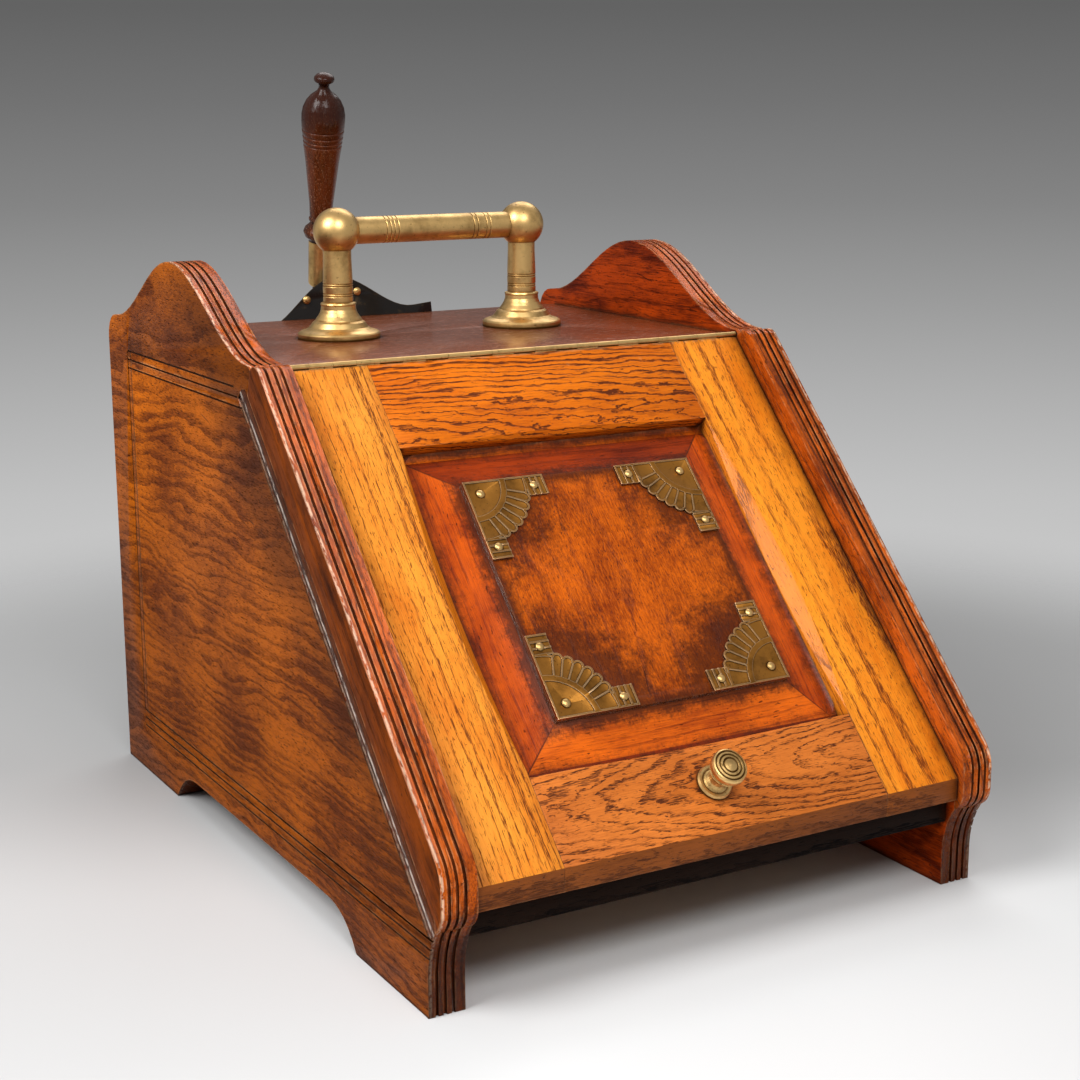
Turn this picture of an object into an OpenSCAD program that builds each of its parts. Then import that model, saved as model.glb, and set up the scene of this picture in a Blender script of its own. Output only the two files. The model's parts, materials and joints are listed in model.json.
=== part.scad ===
// Slope-fronted wooden coal scuttle: reeded side panels with ogee horns, a framed oak lid on a
// continuous hinge, a brass carry handle, a lift-out liner and a shovel that hangs at the back.
// X runs across the box, Y from the front to the back, Z up. The box stands on Z = 0.

/* [Case] */
// Overall width over both side panels
case_w = 350; // [330:1:400]
// Thickness of a side panel
side_t = 20.5; // [19:0.5:24]
// Depth of a side panel, from the front foot to the back edge
case_depth = 460; // [445:1:490]
// Height of the top board's upper face
top_z = 296; // [288:1:306]
// Thickness of the top board
top_t = 16; // [13:0.5:18]
// Thickness of the back board
back_t = 12; // [10:0.5:16]
// Depth of the open recess behind the back board
back_recess = 21.5; // [18:0.5:26]
// Height of the bottom board's underside above the floor
bottom_z = 39; // [36:0.5:41]
// Thickness of the bottom board
bottom_t = 12; // [9:0.5:14]
// Thickness of the front rail, front to back
rail_t = 18; // [14:0.5:22]
// Distance of the front rail's face behind the lid's lower edge
rail_set_back = 9; // [8:0.5:12]
// Depth of the housings that hold the boards in the side panels
housing = 5; // [3:0.5:8]
// How far a housing stops short of the front edge of its board
housing_stop = 5; // [3:0.5:12]

/* [Feet] */
// Length of the front foot along the floor
front_foot = 85; // [70:1:100]
// Length of the rear foot along the floor
rear_foot = 97; // [80:1:110]
// Length of the curve that rises from a foot to the apron
foot_run = 43; // [30:1:55]
// Height of the apron between the feet
apron_z = 20; // [14:0.5:26]
// How far the front foot flares forward at its top
foot_flare = 8.2; // [7:0.1:10]
// Height of the top of that flare, where the sloping moulding ends
foot_lip_z = 48; // [46:0.5:50]
// Height of the straight lower part of the front foot
foot_straight = 20; // [14:0.5:26]

/* [Horns] */
// Height of the horns above the top board
horn_rise = 52; // [40:0.5:60]
// Distance from the front foot to the peak of a horn
horn_y = 335; // [320:1:350]
// Height of the horn's front end above the top board
horn_front_rise = 3; // [2:0.5:5]
// Height of the horn's back end above the top board
horn_back_rise = 10.5; // [8:0.5:14]
// Radius of the shoulder at the top of the back edge
shoulder_r = 16; // [10:0.5:20]

/* [Slope and lid] */
// Distance from the front foot to the hinge line of the lid
lid_top_y = 211; // [205:1:220]
// How far the lid's lower edge overhangs the front foot
lid_overhang = 10.8; // [9:0.1:12]
// Height of the lid's lower front edge
lid_front_z = 68; // [66:0.5:70]
// Height of the plumb face at the lid's lower end
lid_nose = 13; // [11:0.5:14]
// Thickness of the lid frame
lid_t = 20; // [19:0.5:22]
// Gap between the lid and each side panel
lid_gap = 0.7; // [0.4:0.1:1.5]
// Width of a lid stile
stile_w = 50.5; // [44:0.5:56]
// Width of the lid's top rail
top_rail_w = 60; // [50:0.5:70]
// Width of the lid's bottom rail
bottom_rail_w = 51; // [46:0.5:60]
// Length of the rail tenons
tenon_l = 25; // [15:1:35]
// Distance of the tenons from the ends of the stiles
tenon_margin = 8; // [5:0.5:12]
// Depth of the groove that holds the panel
groove_depth = 7; // [5:0.5:9]
// Thickness of the panel's edge in its groove
panel_edge_t = 6; // [4:0.5:6.5]
// Depth of the panel's edge below the lid's face
panel_drop = 10; // [8:0.5:11]
// Width of the bevel round the raised field
bevel_w = 28; // [22:0.5:32]
// Height of the plumb step round the raised field
field_step = 3.3; // [2:0.1:5]
// Width of the cove along the panel's outer edge
edge_cove_w = 5; // [3:0.5:7]
// Width of the bowed chamfer on the stiles, at its middle
stile_chamfer = 7.5; // [3:0.5:8]
// Length of the bowed chamfer on the stiles
stile_chamfer_l = 200; // [160:2:204]
// Width of the bowed chamfer on the rails, at its middle
rail_chamfer = 2.8; // [1.5:0.1:4]
// Length of the bowed chamfer on the rails
rail_chamfer_l = 160; // [120:2:180]

/* [Mouldings] */
// Height of the sloping mouldings above the lid's face
strip_proud = 11.5; // [8:0.5:14]
// Depth of the sloping mouldings below the lid's face
strip_deep = 11.5; // [9:0.5:14]
// How far the moulding's nose reaches in front of the lid
nose_reach = 4.2; // [3.5:0.1:5]
// Radius of the upper round of the nose
nose_upper_r = 22; // [16:1:26]
// Radius of the lower round of the nose
nose_lower_r = 14; // [12.5:0.5:16]
// Radius of the moulding's top end
strip_end_r = 9; // [6:0.5:11]
// Width of a reeding groove
reed_w = 1.8; // [1:0.1:2.5]
// Depth of a reeding groove
reed_d = 1.4; // [0.8:0.1:2]
// Width of an incised line on the side panels
line_w = 1.2; // [0.8:0.1:1.6]
// Depth of an incised line
line_d = 0.8; // [0.5:0.1:1.2]
// Spacing of the incised lines
line_pitch = 5.5; // [4:0.5:7]
// Width of the sunk bead beside each sloping moulding
bead_w = 12.8; // [10:0.2:15]
// Depth of the quirks on both sides of that bead
bead_d = 1.6; // [0.8:0.1:2.2]

/* [Hinge] */
// Thickness of a hinge leaf
leaf_t = 1; // [0.8:0.1:1.4]
// Depth of a hinge leaf below the pin
leaf_h = 13; // [11:0.5:15]
// Gap between the closed leaves
leaf_gap = 0.4; // [0.2:0.1:0.8]
// Outer radius of the knuckles
knuckle_r = 1.6; // [1.5:0.1:2.2]
// Radius of the hinge pin
hinge_pin_r = 0.8; // [0.6:0.05:0.9]
// Height of the pin above the top board's face
hinge_lift = 0.4; // [0:0.1:1]
// Number of knuckles
knuckles = 21; // [11:2:31]
// Number of screws in each leaf
hinge_screws = 6; // [4:1:8]

/* [Carry handle] */
// Distance between the two posts
handle_span = 132.5; // [110:0.5:150]
// Distance from the front foot to the handle
handle_y = 331; // [320:1:345]
// Height of the ball centres above the top board
handle_rise = 66.5; // [60:0.5:80]
// Radius of a ball
ball_r = 14.7; // [12:0.1:15.5]
// Radius of the bar
bar_r = 8.5; // [6:0.1:9]
// Radius of the flange at the foot of a post
flange_r = 26; // [24:0.5:30]
// Radius of the threaded stud under a post
stud_r = 4; // [3:0.25:5]

/* [Knob] */
// Radius of the knob's head
knob_r = 10.2; // [8:0.1:12]
// Height of the knob above the lid
knob_h = 22; // [18:0.5:26]
// Distance of the knob from the lid's lower edge, along the slope
knob_up = 27.5; // [22:0.5:32]
// Radius of the knob's spigot
knob_spigot_r = 2.5; // [2:0.25:4]
// Length of the knob's spigot in the bottom rail
knob_spigot_l = 14; // [10:0.5:18]

/* [Corner mounts] */
// Length of a mount's leg
mount_leg = 51; // [46:0.5:56]
// Width of a mount's leg
mount_w = 13; // [11:0.5:15]
// Thickness of a mount
mount_t = 1.2; // [0.8:0.1:2]
// Radius of the fan between the legs
fan_r = 39; // [34:0.5:42]
// Number of lobes on the fan's edge
fan_lobes = 6; // [4:1:8]
// Inner radius of the raised arc in a mount's corner
arc_r = 23; // [18:0.5:26]
// Width of that arc
arc_w = 3.5; // [2:0.5:5]
// Radius of a round pin head
pin_head_r = 2.6; // [2:0.1:3]

/* [Liner] */
// Thickness of the liner's sheet metal
liner_t = 1.2; // [0.8:0.1:2]
// Gap between the liner and the case
liner_gap = 5; // [4:0.5:8]
// Height of the liner's back wall
liner_h = 199; // [180:1:205]
// Thickness of the rolled rim
rim_t = 3; // [2:0.5:4]

/* [Shovel] */
// Half the width of the pan
pan_half_w = 72; // [62:1:76]
// Length of the pan from the lip to the shoulders
pan_l = 168; // [150:1:180]
// Rise of the heel's crown above the shoulders
crown_rise = 28.5; // [20:0.5:32]
// Width of each straight shoulder beside the crown
shoulder_w = 14; // [8:0.5:20]
// Depth of the pan at the heel
heel_depth = 42; // [38:0.5:45]
// Fall of the heel towards the back
heel_slope = 33; // [30:0.5:38]
// Depth of the pan at the lip
lip_depth = 10; // [8:0.5:14]
// Thickness of the pan's sheet metal
pan_t = 1.5; // [1:0.1:2.5]
// Offset of the lip's middle from the middle of the box
pan_x = -0.5; // [-8:0.5:8]
// Lean of the shovel in its strap
shovel_lean = 6; // [0:0.5:7]
// Rake of the handle towards the front
handle_rake = 16; // [10:0.5:18]
// Cant of the handle against the pan
handle_cant = 2; // [0:0.5:6]
// Largest radius of the turned handle
grip_r = 14.6; // [12:0.2:16]
// Radius of the brass socket
socket_r = 7.7; // [6:0.1:9]
// Length of the brass socket
socket_l = 33; // [22:0.5:36]
// Length of the turned handle above the socket
grip_l = 117; // [100:1:125]
// Height of the strap that holds the pan
strap_h = 18; // [12:0.5:24]
// Thickness of the strap
strap_t = 2; // [1.5:0.1:3]
// Room round the pan inside the strap
strap_room = 5; // [4:0.5:8]

/* [Hidden] */
$fn = 64;

walnut = [0.42, 0.20, 0.08];
dark_walnut = [0.34, 0.13, 0.06];
oak = [0.78, 0.44, 0.14];
mahogany = [0.56, 0.22, 0.06];
ebonised = [0.06, 0.04, 0.03];
pine = [0.62, 0.44, 0.26];
brass = [0.72, 0.55, 0.26];
old_brass = [0.50, 0.38, 0.16];
steel = [0.45, 0.45, 0.45];
japanned = [0.05, 0.05, 0.05];

eps = 0.01;            // overlap that keeps fused forms in one solid
slip = 0.05;           // radial clearance of pins, spigots and shanks
joint_room = 0.1;      // clearance round a tenon or a panel edge

// Case
in_w = case_w - 2 * side_t;
back_y = case_depth - back_recess;
bottom_top = bottom_z + bottom_t;
top_under = top_z - top_t;

// Slope: a lid point is given by its distance up the slope and its height above the lid's face
lid_front_y = -lid_overhang;
slope = atan2(top_z - lid_front_z, lid_top_y - lid_front_y);
lid_len = norm([lid_top_y - lid_front_y, top_z - lid_front_z]);
function on_slope(up, out) = [lid_front_y + up * cos(slope) - out * sin(slope),
    lid_front_z + up * sin(slope) + out * cos(slope)];
// Distance up the slope at which a line at a given height above the lid crosses a level or a depth
function up_at_z(z, out) = (z - lid_front_z - out * cos(slope)) / sin(slope);
function up_at_y(y, out) = (y - lid_front_y + out * sin(slope)) / cos(slope);
function slope_at_z(z, out) = on_slope(up_at_z(z, out), out);
function slope_at_y(y, out) = on_slope(up_at_y(y, out), out);

function arc(centre, r, from, to, steps = 10) =
    [for (i = [0 : steps]) let (a = from + (to - from) * i / steps) centre + r * [cos(a), sin(a)]];
function reversed(list) = [for (i = [len(list) - 1 : -1 : 0]) list[i]];

// Hinge: the pin lies on the line where the lid meets the top board
hinge_z = top_z + hinge_lift;
leaf_back = leaf_gap / 2 + leaf_t;
board_front = lid_top_y + leaf_back;
lid_end = lid_top_y - leaf_back;
cove_r = knuckle_r + 0.4;
hinge_len = in_w - 2 * lid_gap;
knuckle_l = hinge_len / knuckles;
hinge_screw_z = hinge_z - leaf_h * 0.8;
hinge_screw_r = 1;
hinge_screw_l = 7;

// Lid
lid_w = in_w - 2 * lid_gap;
lid_seat = lid_front_z - lid_nose;
opening_x = lid_w / 2 - stile_w;
opening_low = bottom_rail_w;
opening_high = lid_len - top_rail_w;
opening_mid = (opening_low + opening_high) / 2;
field_x = opening_x - bevel_w;
field_low = opening_low + bevel_w;
field_high = opening_high - bevel_w;
panel_back = -(panel_drop + panel_edge_t);
edge_cove_h = 1.8;
edge_cove_r = (pow(edge_cove_w, 2) + pow(edge_cove_h, 2)) / (2 * edge_cove_h);
edge_cove_turn = asin(edge_cove_w / edge_cove_r);
lid_outline = [
    [lid_front_y, lid_front_z], slope_at_y(lid_end, 0), slope_at_y(lid_end, -lid_t),
    slope_at_z(lid_seat, -lid_t), [lid_front_y, lid_seat]];

// Front rail: its top carries the lid
rail_y = lid_front_y + rail_set_back;

// Front foot and moulding
flare_rise = foot_lip_z - foot_straight;
flare_r = (pow(foot_flare, 2) + pow(flare_rise, 2)) / (2 * foot_flare);
nose_y = lid_front_y - nose_reach;
nose_drop = acos((nose_y + nose_lower_r + foot_flare) / nose_lower_r);
nose_lower = [nose_y + nose_lower_r, foot_lip_z + nose_lower_r * sin(nose_drop)];
nose_upper = slope_at_y(nose_y + nose_upper_r, strip_proud - nose_upper_r);
strip_short = 1;       // how far the moulding stops short of the hinge line, at its face and at its foot
strip_heel_short = 8;
strip_end = on_slope(lid_len - strip_short - strip_end_r, strip_proud - strip_end_r);
strip_heel = on_slope(lid_len - strip_heel_short, -strip_deep);
strip_toe = slope_at_y(-foot_flare, -strip_deep);

// Exposed face of the moulding, from its top end over the nose to the foot, cut back by a depth
function strip_face(cut) = concat(
    arc(strip_end, strip_end_r - cut, slope, slope + 90),
    arc(nose_upper, nose_upper_r - cut, slope + 90, 180),
    arc(nose_lower, nose_lower_r - cut, 180, 180 + nose_drop));
function foot_face(cut) = concat(
    arc([-flare_r, foot_straight], flare_r + cut, asin(flare_rise / flare_r), 0),
    [[cut, 0]]);

// Horns: half a cosine wave on each side of the peak
horn_front_run = horn_y - lid_top_y;
horn_back_run = case_depth - shoulder_r - horn_y;
horn_steps = 14;
function wave(base, share) = base + (horn_rise - base) * (1 + cos(180 * share)) / 2;
function horn_front(cut) = [for (i = [0 : horn_steps]) let (s = 1 - i / horn_steps)
    [horn_y - horn_front_run * s, top_z + wave(horn_front_rise, s) - cut]];
function horn_back(cut) = [for (i = [0 : horn_steps]) let (s = i / horn_steps)
    [horn_y + horn_back_run * s, top_z + wave(horn_back_rise, s) - cut]];
shoulder = [case_depth - shoulder_r, top_z + horn_back_rise - shoulder_r];
function shoulder_face(cut) = arc(shoulder, shoulder_r - cut, 90, 0, 5);

// Feet: a cubic curve that leaves the floor steeply and meets the apron flat
function foot_curve(start, way) = [for (i = [0 : 8]) let (s = i / 8)
    [start + way * foot_run * s, apron_z * (1 - pow(1 - s, 3))]];

side_outline = concat(
    [strip_face(0)[0]], horn_front(0), horn_back(0), shoulder_face(0), [[case_depth, 0]],
    foot_curve(case_depth - rear_foot, -1),
    reversed(foot_curve(front_foot, 1)),
    reversed(foot_face(0)), [strip_toe, strip_heel]);
strip_outline = concat(strip_face(0), [strip_toe, strip_heel]);

// Reeding: three grooves along each moulding, horn and foot, as shares of the panel's thickness
reed_at = [0.33, 0.55, 0.77];

// Incised lines: three along the top and the bottom and two down the back. A bead runs beside the moulding
line_top = top_under + 5;
line_bottom = bottom_z + 4;
line_back = back_y - 16.5;
bead_far = -strip_deep - bead_w;
bead_r = (pow(bead_w / 2, 2) + pow(bead_d, 2)) / (2 * bead_d);
bead_turn = asin(bead_w / 2 / bead_r);

// Carry handle
ball_z = top_z + handle_rise;
spigot_r = 4;
spigot_l = 8;
nut_h = 6;
nut_r = 7.5;
washer_t = 1.5;
stud_l = top_t + washer_t + nut_h + 2;
ring_d = 0.35;
ring_half = 0.5;
// Turned rings come in pairs: the middles of the pairs on the bar and on a post
ring_pair = 1.45;
bar_pairs = [-33.4, -28, 28.8, 37.9];
post_pairs = [27, 33.3];

// Corner mounts
pin_places = [[8.5, 8.5], [mount_leg - 7.5, mount_w / 2], [mount_w / 2, mount_leg - 7.5]];
pin_shank_r = 0.8;
pin_shank_l = 9;
relief = 0.45;         // height of the raised lines above a mount's face
rim_w = 1.1;           // width of a raised line
rib_w = 0.9;
fan_from = 17;         // the fan fills the angle between the two legs
fan_step = (90 - 2 * fan_from) / fan_lobes;
lobe_r = 3.3;
lobe_set = 1.4;        // how far a lobe's middle lies inside the fan's edge
ridge_step = (mount_w - rim_w) / 3;

// Liner
liner_x = in_w / 2 - liner_gap;
liner_front = rail_y + rail_t + liner_gap;
liner_back = back_y - back_t - liner_gap;
liner_top = bottom_top + liner_h;
liner_out = -(lid_t + liner_gap);

// Shovel: local origin at the pan's lip, in the middle of its width
pan_y = back_y + 0.3;
shoulder_drop = 0.5;   // how far the middle of the shoulders lies below the top board
ledge_z = top_z - shoulder_drop - pan_l * cos(shovel_lean) - pan_half_w * sin(shovel_lean);
handle_axis_x = -2.8;
handle_axis_y = 20;
crown_z = pan_l + crown_rise;
crown_reach = pan_half_w - shoulder_w;
rivet_x = 19;
rivet_z = crown_z - 12.6;
tang_r = 2.5;
tang_l = 3;
seat_drop = 7;         // depth of the socket's foot below the crown
seat_l = 16;
rivet_r = 1.5;
strap_rise = 62;       // height of the strap above the ledge
strap_z = ledge_z + strap_rise;
strap_x = pan_x - (strap_z + strap_h / 2 - ledge_z) * tan(shovel_lean);
strap_half = pan_half_w + strap_room;
pan_depth_at_strap = lip_depth + (heel_depth - lip_depth) * (strap_z + strap_h - ledge_z) / pan_l;
strap_y = pan_y + pan_depth_at_strap + strap_t;
strap_foot = 18;
ledge_t = 12;
ledge_depth = heel_depth - 2;
ledge_over = 8;        // how far the ledge runs on past the strap at each side
screw_r = 1.7;
screw_l = back_t - 1;

// The origin is the middle of the footprint, from the moulding's nose to the back of the pan
back_most = max(case_depth, pan_y + heel_depth);
middle_y = (nose_y + back_most) / 2;

module placed() translate([0, -middle_y, 0]) children();
module along_x(from, to) translate([from, 0, 0]) rotate([90, 0, 90]) linear_extrude(to - from) children();
module span(low, high) translate(low) cube(high - low);
module on_lid() translate([0, lid_front_y, lid_front_z]) rotate([slope, 0, 0]) children();
module both_sides() {
    children();
    mirror([1, 0, 0]) children();
}

// Side panels -------------------------------------------------------------------------------------

// One straight incised line on the outer face of the right-hand panel
module incised(from, to) {
    run = to - from;
    translate([case_w / 2 - line_d, from[0], from[1]])
        rotate([atan2(run[1], run[0]), 0, 0])
            translate([0, 0, -line_w / 2]) cube([line_d + 1, norm(run), line_w]);
}

module incised_lines() {
    for (i = [0 : 2]) {
        level = line_top - i * line_pitch;
        incised(slope_at_z(level, bead_far), [line_back, level]);
        incised([2 - foot_flare, line_bottom - i * line_pitch], [line_back, line_bottom - i * line_pitch]);
    }
    for (i = [0 : 1])
        incised([line_back - i * line_pitch, line_bottom], [line_back - i * line_pitch, line_top]);
}

// What is cut away round the sunk bead: its two quirks, between the lowest and the highest line
module bead_cut() {
    face = case_w / 2;
    intersection() {
        on_lid() translate([0, lid_len, 0]) rotate([90, 0, 0]) linear_extrude(lid_len + lid_t)
            polygon(concat([[face + 1, bead_far]],
                arc([face - bead_r, bead_far + bead_w / 2], bead_r, -bead_turn, bead_turn, 12),
                [[face + 1, bead_far + bead_w]]));
        span([0, -case_depth, line_bottom], [case_w, case_depth, line_top]);
    }
}

// Reeding grooves that follow an edge: the strip between the edge and the same edge cut back
module reeds(outer, inner) {
    for (share = reed_at)
        along_x(in_w / 2 + side_t * share - reed_w / 2, in_w / 2 + side_t * share + reed_w / 2)
            polygon(concat(outer, reversed(inner)));
}

module side_panel() {
    difference() {
        along_x(in_w / 2, case_w / 2) polygon(side_outline);
        board_ends();
        incised_lines();
        bead_cut();
        reeds(concat(horn_front(-1), horn_back(-1), shoulder_face(-1)),
            concat(horn_front(reed_d), horn_back(reed_d), shoulder_face(reed_d)));
        reeds(foot_face(-2), foot_face(reed_d));
    }
}
module side_right() color(walnut) placed() side_panel();
module side_left() color(walnut) placed() mirror([1, 0, 0]) side_panel();

module slope_moulding() {
    difference() {
        along_x(in_w / 2, case_w / 2) polygon(strip_outline);
        reeds(strip_face(-1), strip_face(reed_d));
    }
}
module slope_moulding_right() color(dark_walnut) placed() slope_moulding();
module slope_moulding_left() color(dark_walnut) placed() mirror([1, 0, 0]) slope_moulding();

// Boards ------------------------------------------------------------------------------------------

// The ends of the boards that sit in the right-hand panel's housings, the front ones stopped short
module board_end(low, high) span([in_w / 2 - eps, low[0], low[1]], [in_w / 2 + housing, high[0], high[1]]);
module top_end() board_end([board_front + 2 * housing_stop, top_under], [back_y, top_z]);
module back_end() board_end([back_y - back_t, bottom_z], [back_y, top_under]);
module bottom_end() board_end([rail_y + rail_t, bottom_z], [back_y - back_t, bottom_top]);
module rail_end() board_end([rail_y + housing_stop, bottom_z], [rail_y + rail_t, lid_seat]);
module board_ends() {
    top_end();
    back_end();
    bottom_end();
    rail_end();
}

module top_board() color(dark_walnut) placed() {
    difference() {
        union() {
            span([-in_w / 2, board_front, top_under], [in_w / 2, back_y, top_z]);
            both_sides() top_end();
        }
        hinge_cove();
        hinge_screw_row(1) cylinder(r = hinge_screw_r + slip, h = hinge_screw_l + 1);
        handle_places() translate([0, 0, -top_t - 1]) cylinder(r = stud_r + 2 * slip, h = top_t + 2);
    }
}

module back_board() color(pine) placed() {
    difference() {
        union() {
            span([-in_w / 2, back_y - back_t, bottom_z], [in_w / 2, back_y, top_under]);
            both_sides() back_end();
        }
        strap_screw_places() cylinder(r = screw_r + slip, h = screw_l);
    }
}

module bottom_board() color(pine) placed() {
    span([-in_w / 2, rail_y + rail_t, bottom_z], [in_w / 2, back_y - back_t, bottom_top]);
    both_sides() bottom_end();
}

module front_rail() color(ebonised) placed() {
    span([-in_w / 2, rail_y, bottom_z], [in_w / 2, rail_y + rail_t, lid_seat]);
    both_sides() rail_end();
}

// Lid ---------------------------------------------------------------------------------------------

// A tenon on the right-hand end of a rail, between two distances up the slope
module tenon(low, high, room) {
    span([opening_x - eps, low - room, panel_back - room],
        [opening_x + tenon_l + room, high + room, -panel_drop + room]);
}
module tenon_bottom(room) tenon(tenon_margin, opening_low - groove_depth - 2, room);
module tenon_top(room)
    tenon(opening_high + groove_depth + 2, up_at_y(lid_end, panel_back) - tenon_margin, room);

// Cutter for a chamfer that bows: deepest at its middle, running out at both ends
module bowed_cut(width, length) {
    depth = width * cos(45);
    bow_r = (pow(length / 2, 2) + pow(depth, 2)) / (2 * depth);
    translate([-(bow_r - depth), 0, 0]) cylinder(r = bow_r, h = 4 * width, center = true, $fn = 200);
}

// The groove that takes the panel's edge, cut into all four members of the frame
module panel_groove() {
    reach = groove_depth + joint_room;
    span([-opening_x - reach, opening_low - reach, panel_back - joint_room],
        [opening_x + reach, opening_high + reach, -panel_drop + joint_room]);
}

module lid_stile() {
    difference() {
        along_x(opening_x, lid_w / 2) polygon(lid_outline);
        on_lid() {
            tenon_bottom(joint_room);
            tenon_top(joint_room);
            panel_groove();
            translate([opening_x, opening_mid, 0]) rotate([0, 45, 0])
                bowed_cut(stile_chamfer, stile_chamfer_l);
        }
        hinge_cove();
        hinge_screw_row(-1) cylinder(r = hinge_screw_r + slip, h = hinge_screw_l + 1);
    }
}
module lid_stile_right() color(oak) placed() lid_stile();
module lid_stile_left() color(oak) placed() mirror([1, 0, 0]) lid_stile();

// The part of the lid's section between two distances up the slope
module lid_section(low, high) {
    intersection() {
        along_x(-opening_x, opening_x) polygon(lid_outline);
        on_lid() span([-opening_x, low, -2 * lid_t], [opening_x, high, lid_t]);
    }
}

module lid_rail_top() color(oak) placed() {
    difference() {
        union() {
            lid_section(opening_high, lid_len);
            on_lid() both_sides() tenon_top(0);
        }
        on_lid() {
            panel_groove();
            translate([0, opening_high, 0]) rotate([-45, 0, 0]) rotate([0, 0, 90])
                bowed_cut(rail_chamfer, rail_chamfer_l);
        }
        hinge_cove();
        hinge_screw_row(-1) cylinder(r = hinge_screw_r + slip, h = hinge_screw_l + 1);
    }
}

module lid_rail_bottom() color(oak) placed() {
    difference() {
        union() {
            lid_section(-lid_t, opening_low);
            on_lid() both_sides() tenon_bottom(0);
        }
        on_lid() {
            panel_groove();
            translate([0, opening_low, 0]) rotate([45, 0, 0]) rotate([0, 0, -90])
                bowed_cut(rail_chamfer, rail_chamfer_l);
            translate([0, knob_up, -knob_spigot_l - slip]) cylinder(r = knob_spigot_r + slip, h = lid_t);
        }
    }
}

// Raised field with mitred bevels and coves: two such sections, each run through, and what they share
module lid_panel() color(mahogany) placed() on_lid() {
    step_out = -field_step;
    difference() {
        union() {
            span([-opening_x - groove_depth, opening_low - groove_depth, panel_back],
                [opening_x + groove_depth, opening_high + groove_depth, -panel_drop]);
            intersection() {
                translate([0, opening_high, 0]) rotate([90, 0, 0]) linear_extrude(opening_high - opening_low)
                    bevelled(-opening_x, opening_x, step_out);
                along_x(-opening_x, opening_x) bevelled(opening_low, opening_high, step_out);
            }
            span([-field_x, field_low, -field_step - eps], [field_x, field_high, 0]);
        }
        mount_places() pin_holes();
    }
}

module bevelled(low, high, top) {
    centre = -panel_drop + edge_cove_r;
    polygon(concat([[low, -panel_drop - eps], [high, -panel_drop - eps]],
        arc([high - edge_cove_w, centre], edge_cove_r, edge_cove_turn - 90, -90, 5),
        [[high - bevel_w, top], [low + bevel_w, top]],
        arc([low + edge_cove_w, centre], edge_cove_r, -90, -90 - edge_cove_turn, 5)));
}

// Corner mounts -----------------------------------------------------------------------------------

// A corner of the raised field; the turn points both legs of the mount along its edges
module mount_place(across, up, turn) {
    translate([across * field_x, opening_mid + up * (field_high - field_low) / 2, 0])
        rotate([0, 0, turn]) children();
}
module top_left() mount_place(-1, 1, -90) children();
module top_right() mount_place(1, 1, 180) children();
module bottom_left() mount_place(-1, -1, 0) children();
module bottom_right() mount_place(1, -1, 90) children();
module mount_places() {
    top_left() children();
    top_right() children();
    bottom_left() children();
    bottom_right() children();
}

module pin_holes() {
    for (place = pin_places)
        translate([place[0], place[1], -pin_shank_l]) cylinder(r = pin_shank_r + slip, h = pin_shank_l + 4);
}

// The outline: two legs and, between them, a fan with a lobed edge
module fan_outline(inset) {
    intersection() {
        square(fan_r + lobe_r);
        union() {
            circle(r = fan_r - inset);
            for (i = [0 : fan_lobes - 1]) rotate(fan_from + fan_step * (i + 0.5))
                translate([fan_r - lobe_set, 0]) circle(r = lobe_r - inset, $fn = 32);
        }
    }
}
module mount_outline() {
    square([mount_leg, mount_w]);
    square([mount_w, mount_leg]);
    fan_outline(0);
}

// Raised rims along the outer edges and round the fan, an arc, fan ribs and ridged leg ends
module mount_relief() {
    square([mount_leg, rim_w]);
    square([rim_w, mount_leg]);
    intersection() {
        square(fan_r);
        difference() {
            circle(r = arc_r + arc_w);
            circle(r = arc_r);
        }
    }
    difference() {
        fan_outline(0);
        fan_outline(rim_w);
    }
    for (i = [0 : fan_lobes]) rotate(fan_from + fan_step * i)
        translate([arc_r + arc_w / 2, -rib_w / 2]) square([fan_r - arc_r - arc_w / 2, rib_w]);
    for (i = [0 : 3]) let (at = mount_leg - mount_w + i * ridge_step) {
        translate([at, 0]) square([rim_w, mount_w]);
        translate([0, at]) square([mount_w, rim_w]);
    }
}

module corner_mount() {
    difference() {
        union() {
            linear_extrude(mount_t) mount_outline();
            linear_extrude(mount_t + relief) difference() {
                mount_relief();
                // flat seats for the pin heads
                for (place = pin_places) translate(place) circle(r = pin_head_r + slip);
            }
        }
        pin_holes();
    }
}
module corner_mount_top_left() color(old_brass) placed() on_lid() top_left() corner_mount();
module corner_mount_top_right() color(old_brass) placed() on_lid() top_right() corner_mount();
module corner_mount_bottom_left() color(old_brass) placed() on_lid() bottom_left() corner_mount();
module corner_mount_bottom_right() color(old_brass) placed() on_lid() bottom_right() corner_mount();

module round_pin(head_r, shank_r, shank_l) {
    rotate_extrude() polygon(concat(
        [[0, -shank_l], [shank_r, -shank_l], [shank_r, 0]],
        [for (a = [0 : 15 : 90]) [head_r * cos(a), head_r * 0.62 * sin(a)]]));
}
module corner_pins() color(old_brass) placed() on_lid() mount_places()
    for (place = pin_places) translate([place[0], place[1], mount_t])
        round_pin(pin_head_r, pin_shank_r, pin_shank_l);

// Knob --------------------------------------------------------------------------------------------

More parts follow.
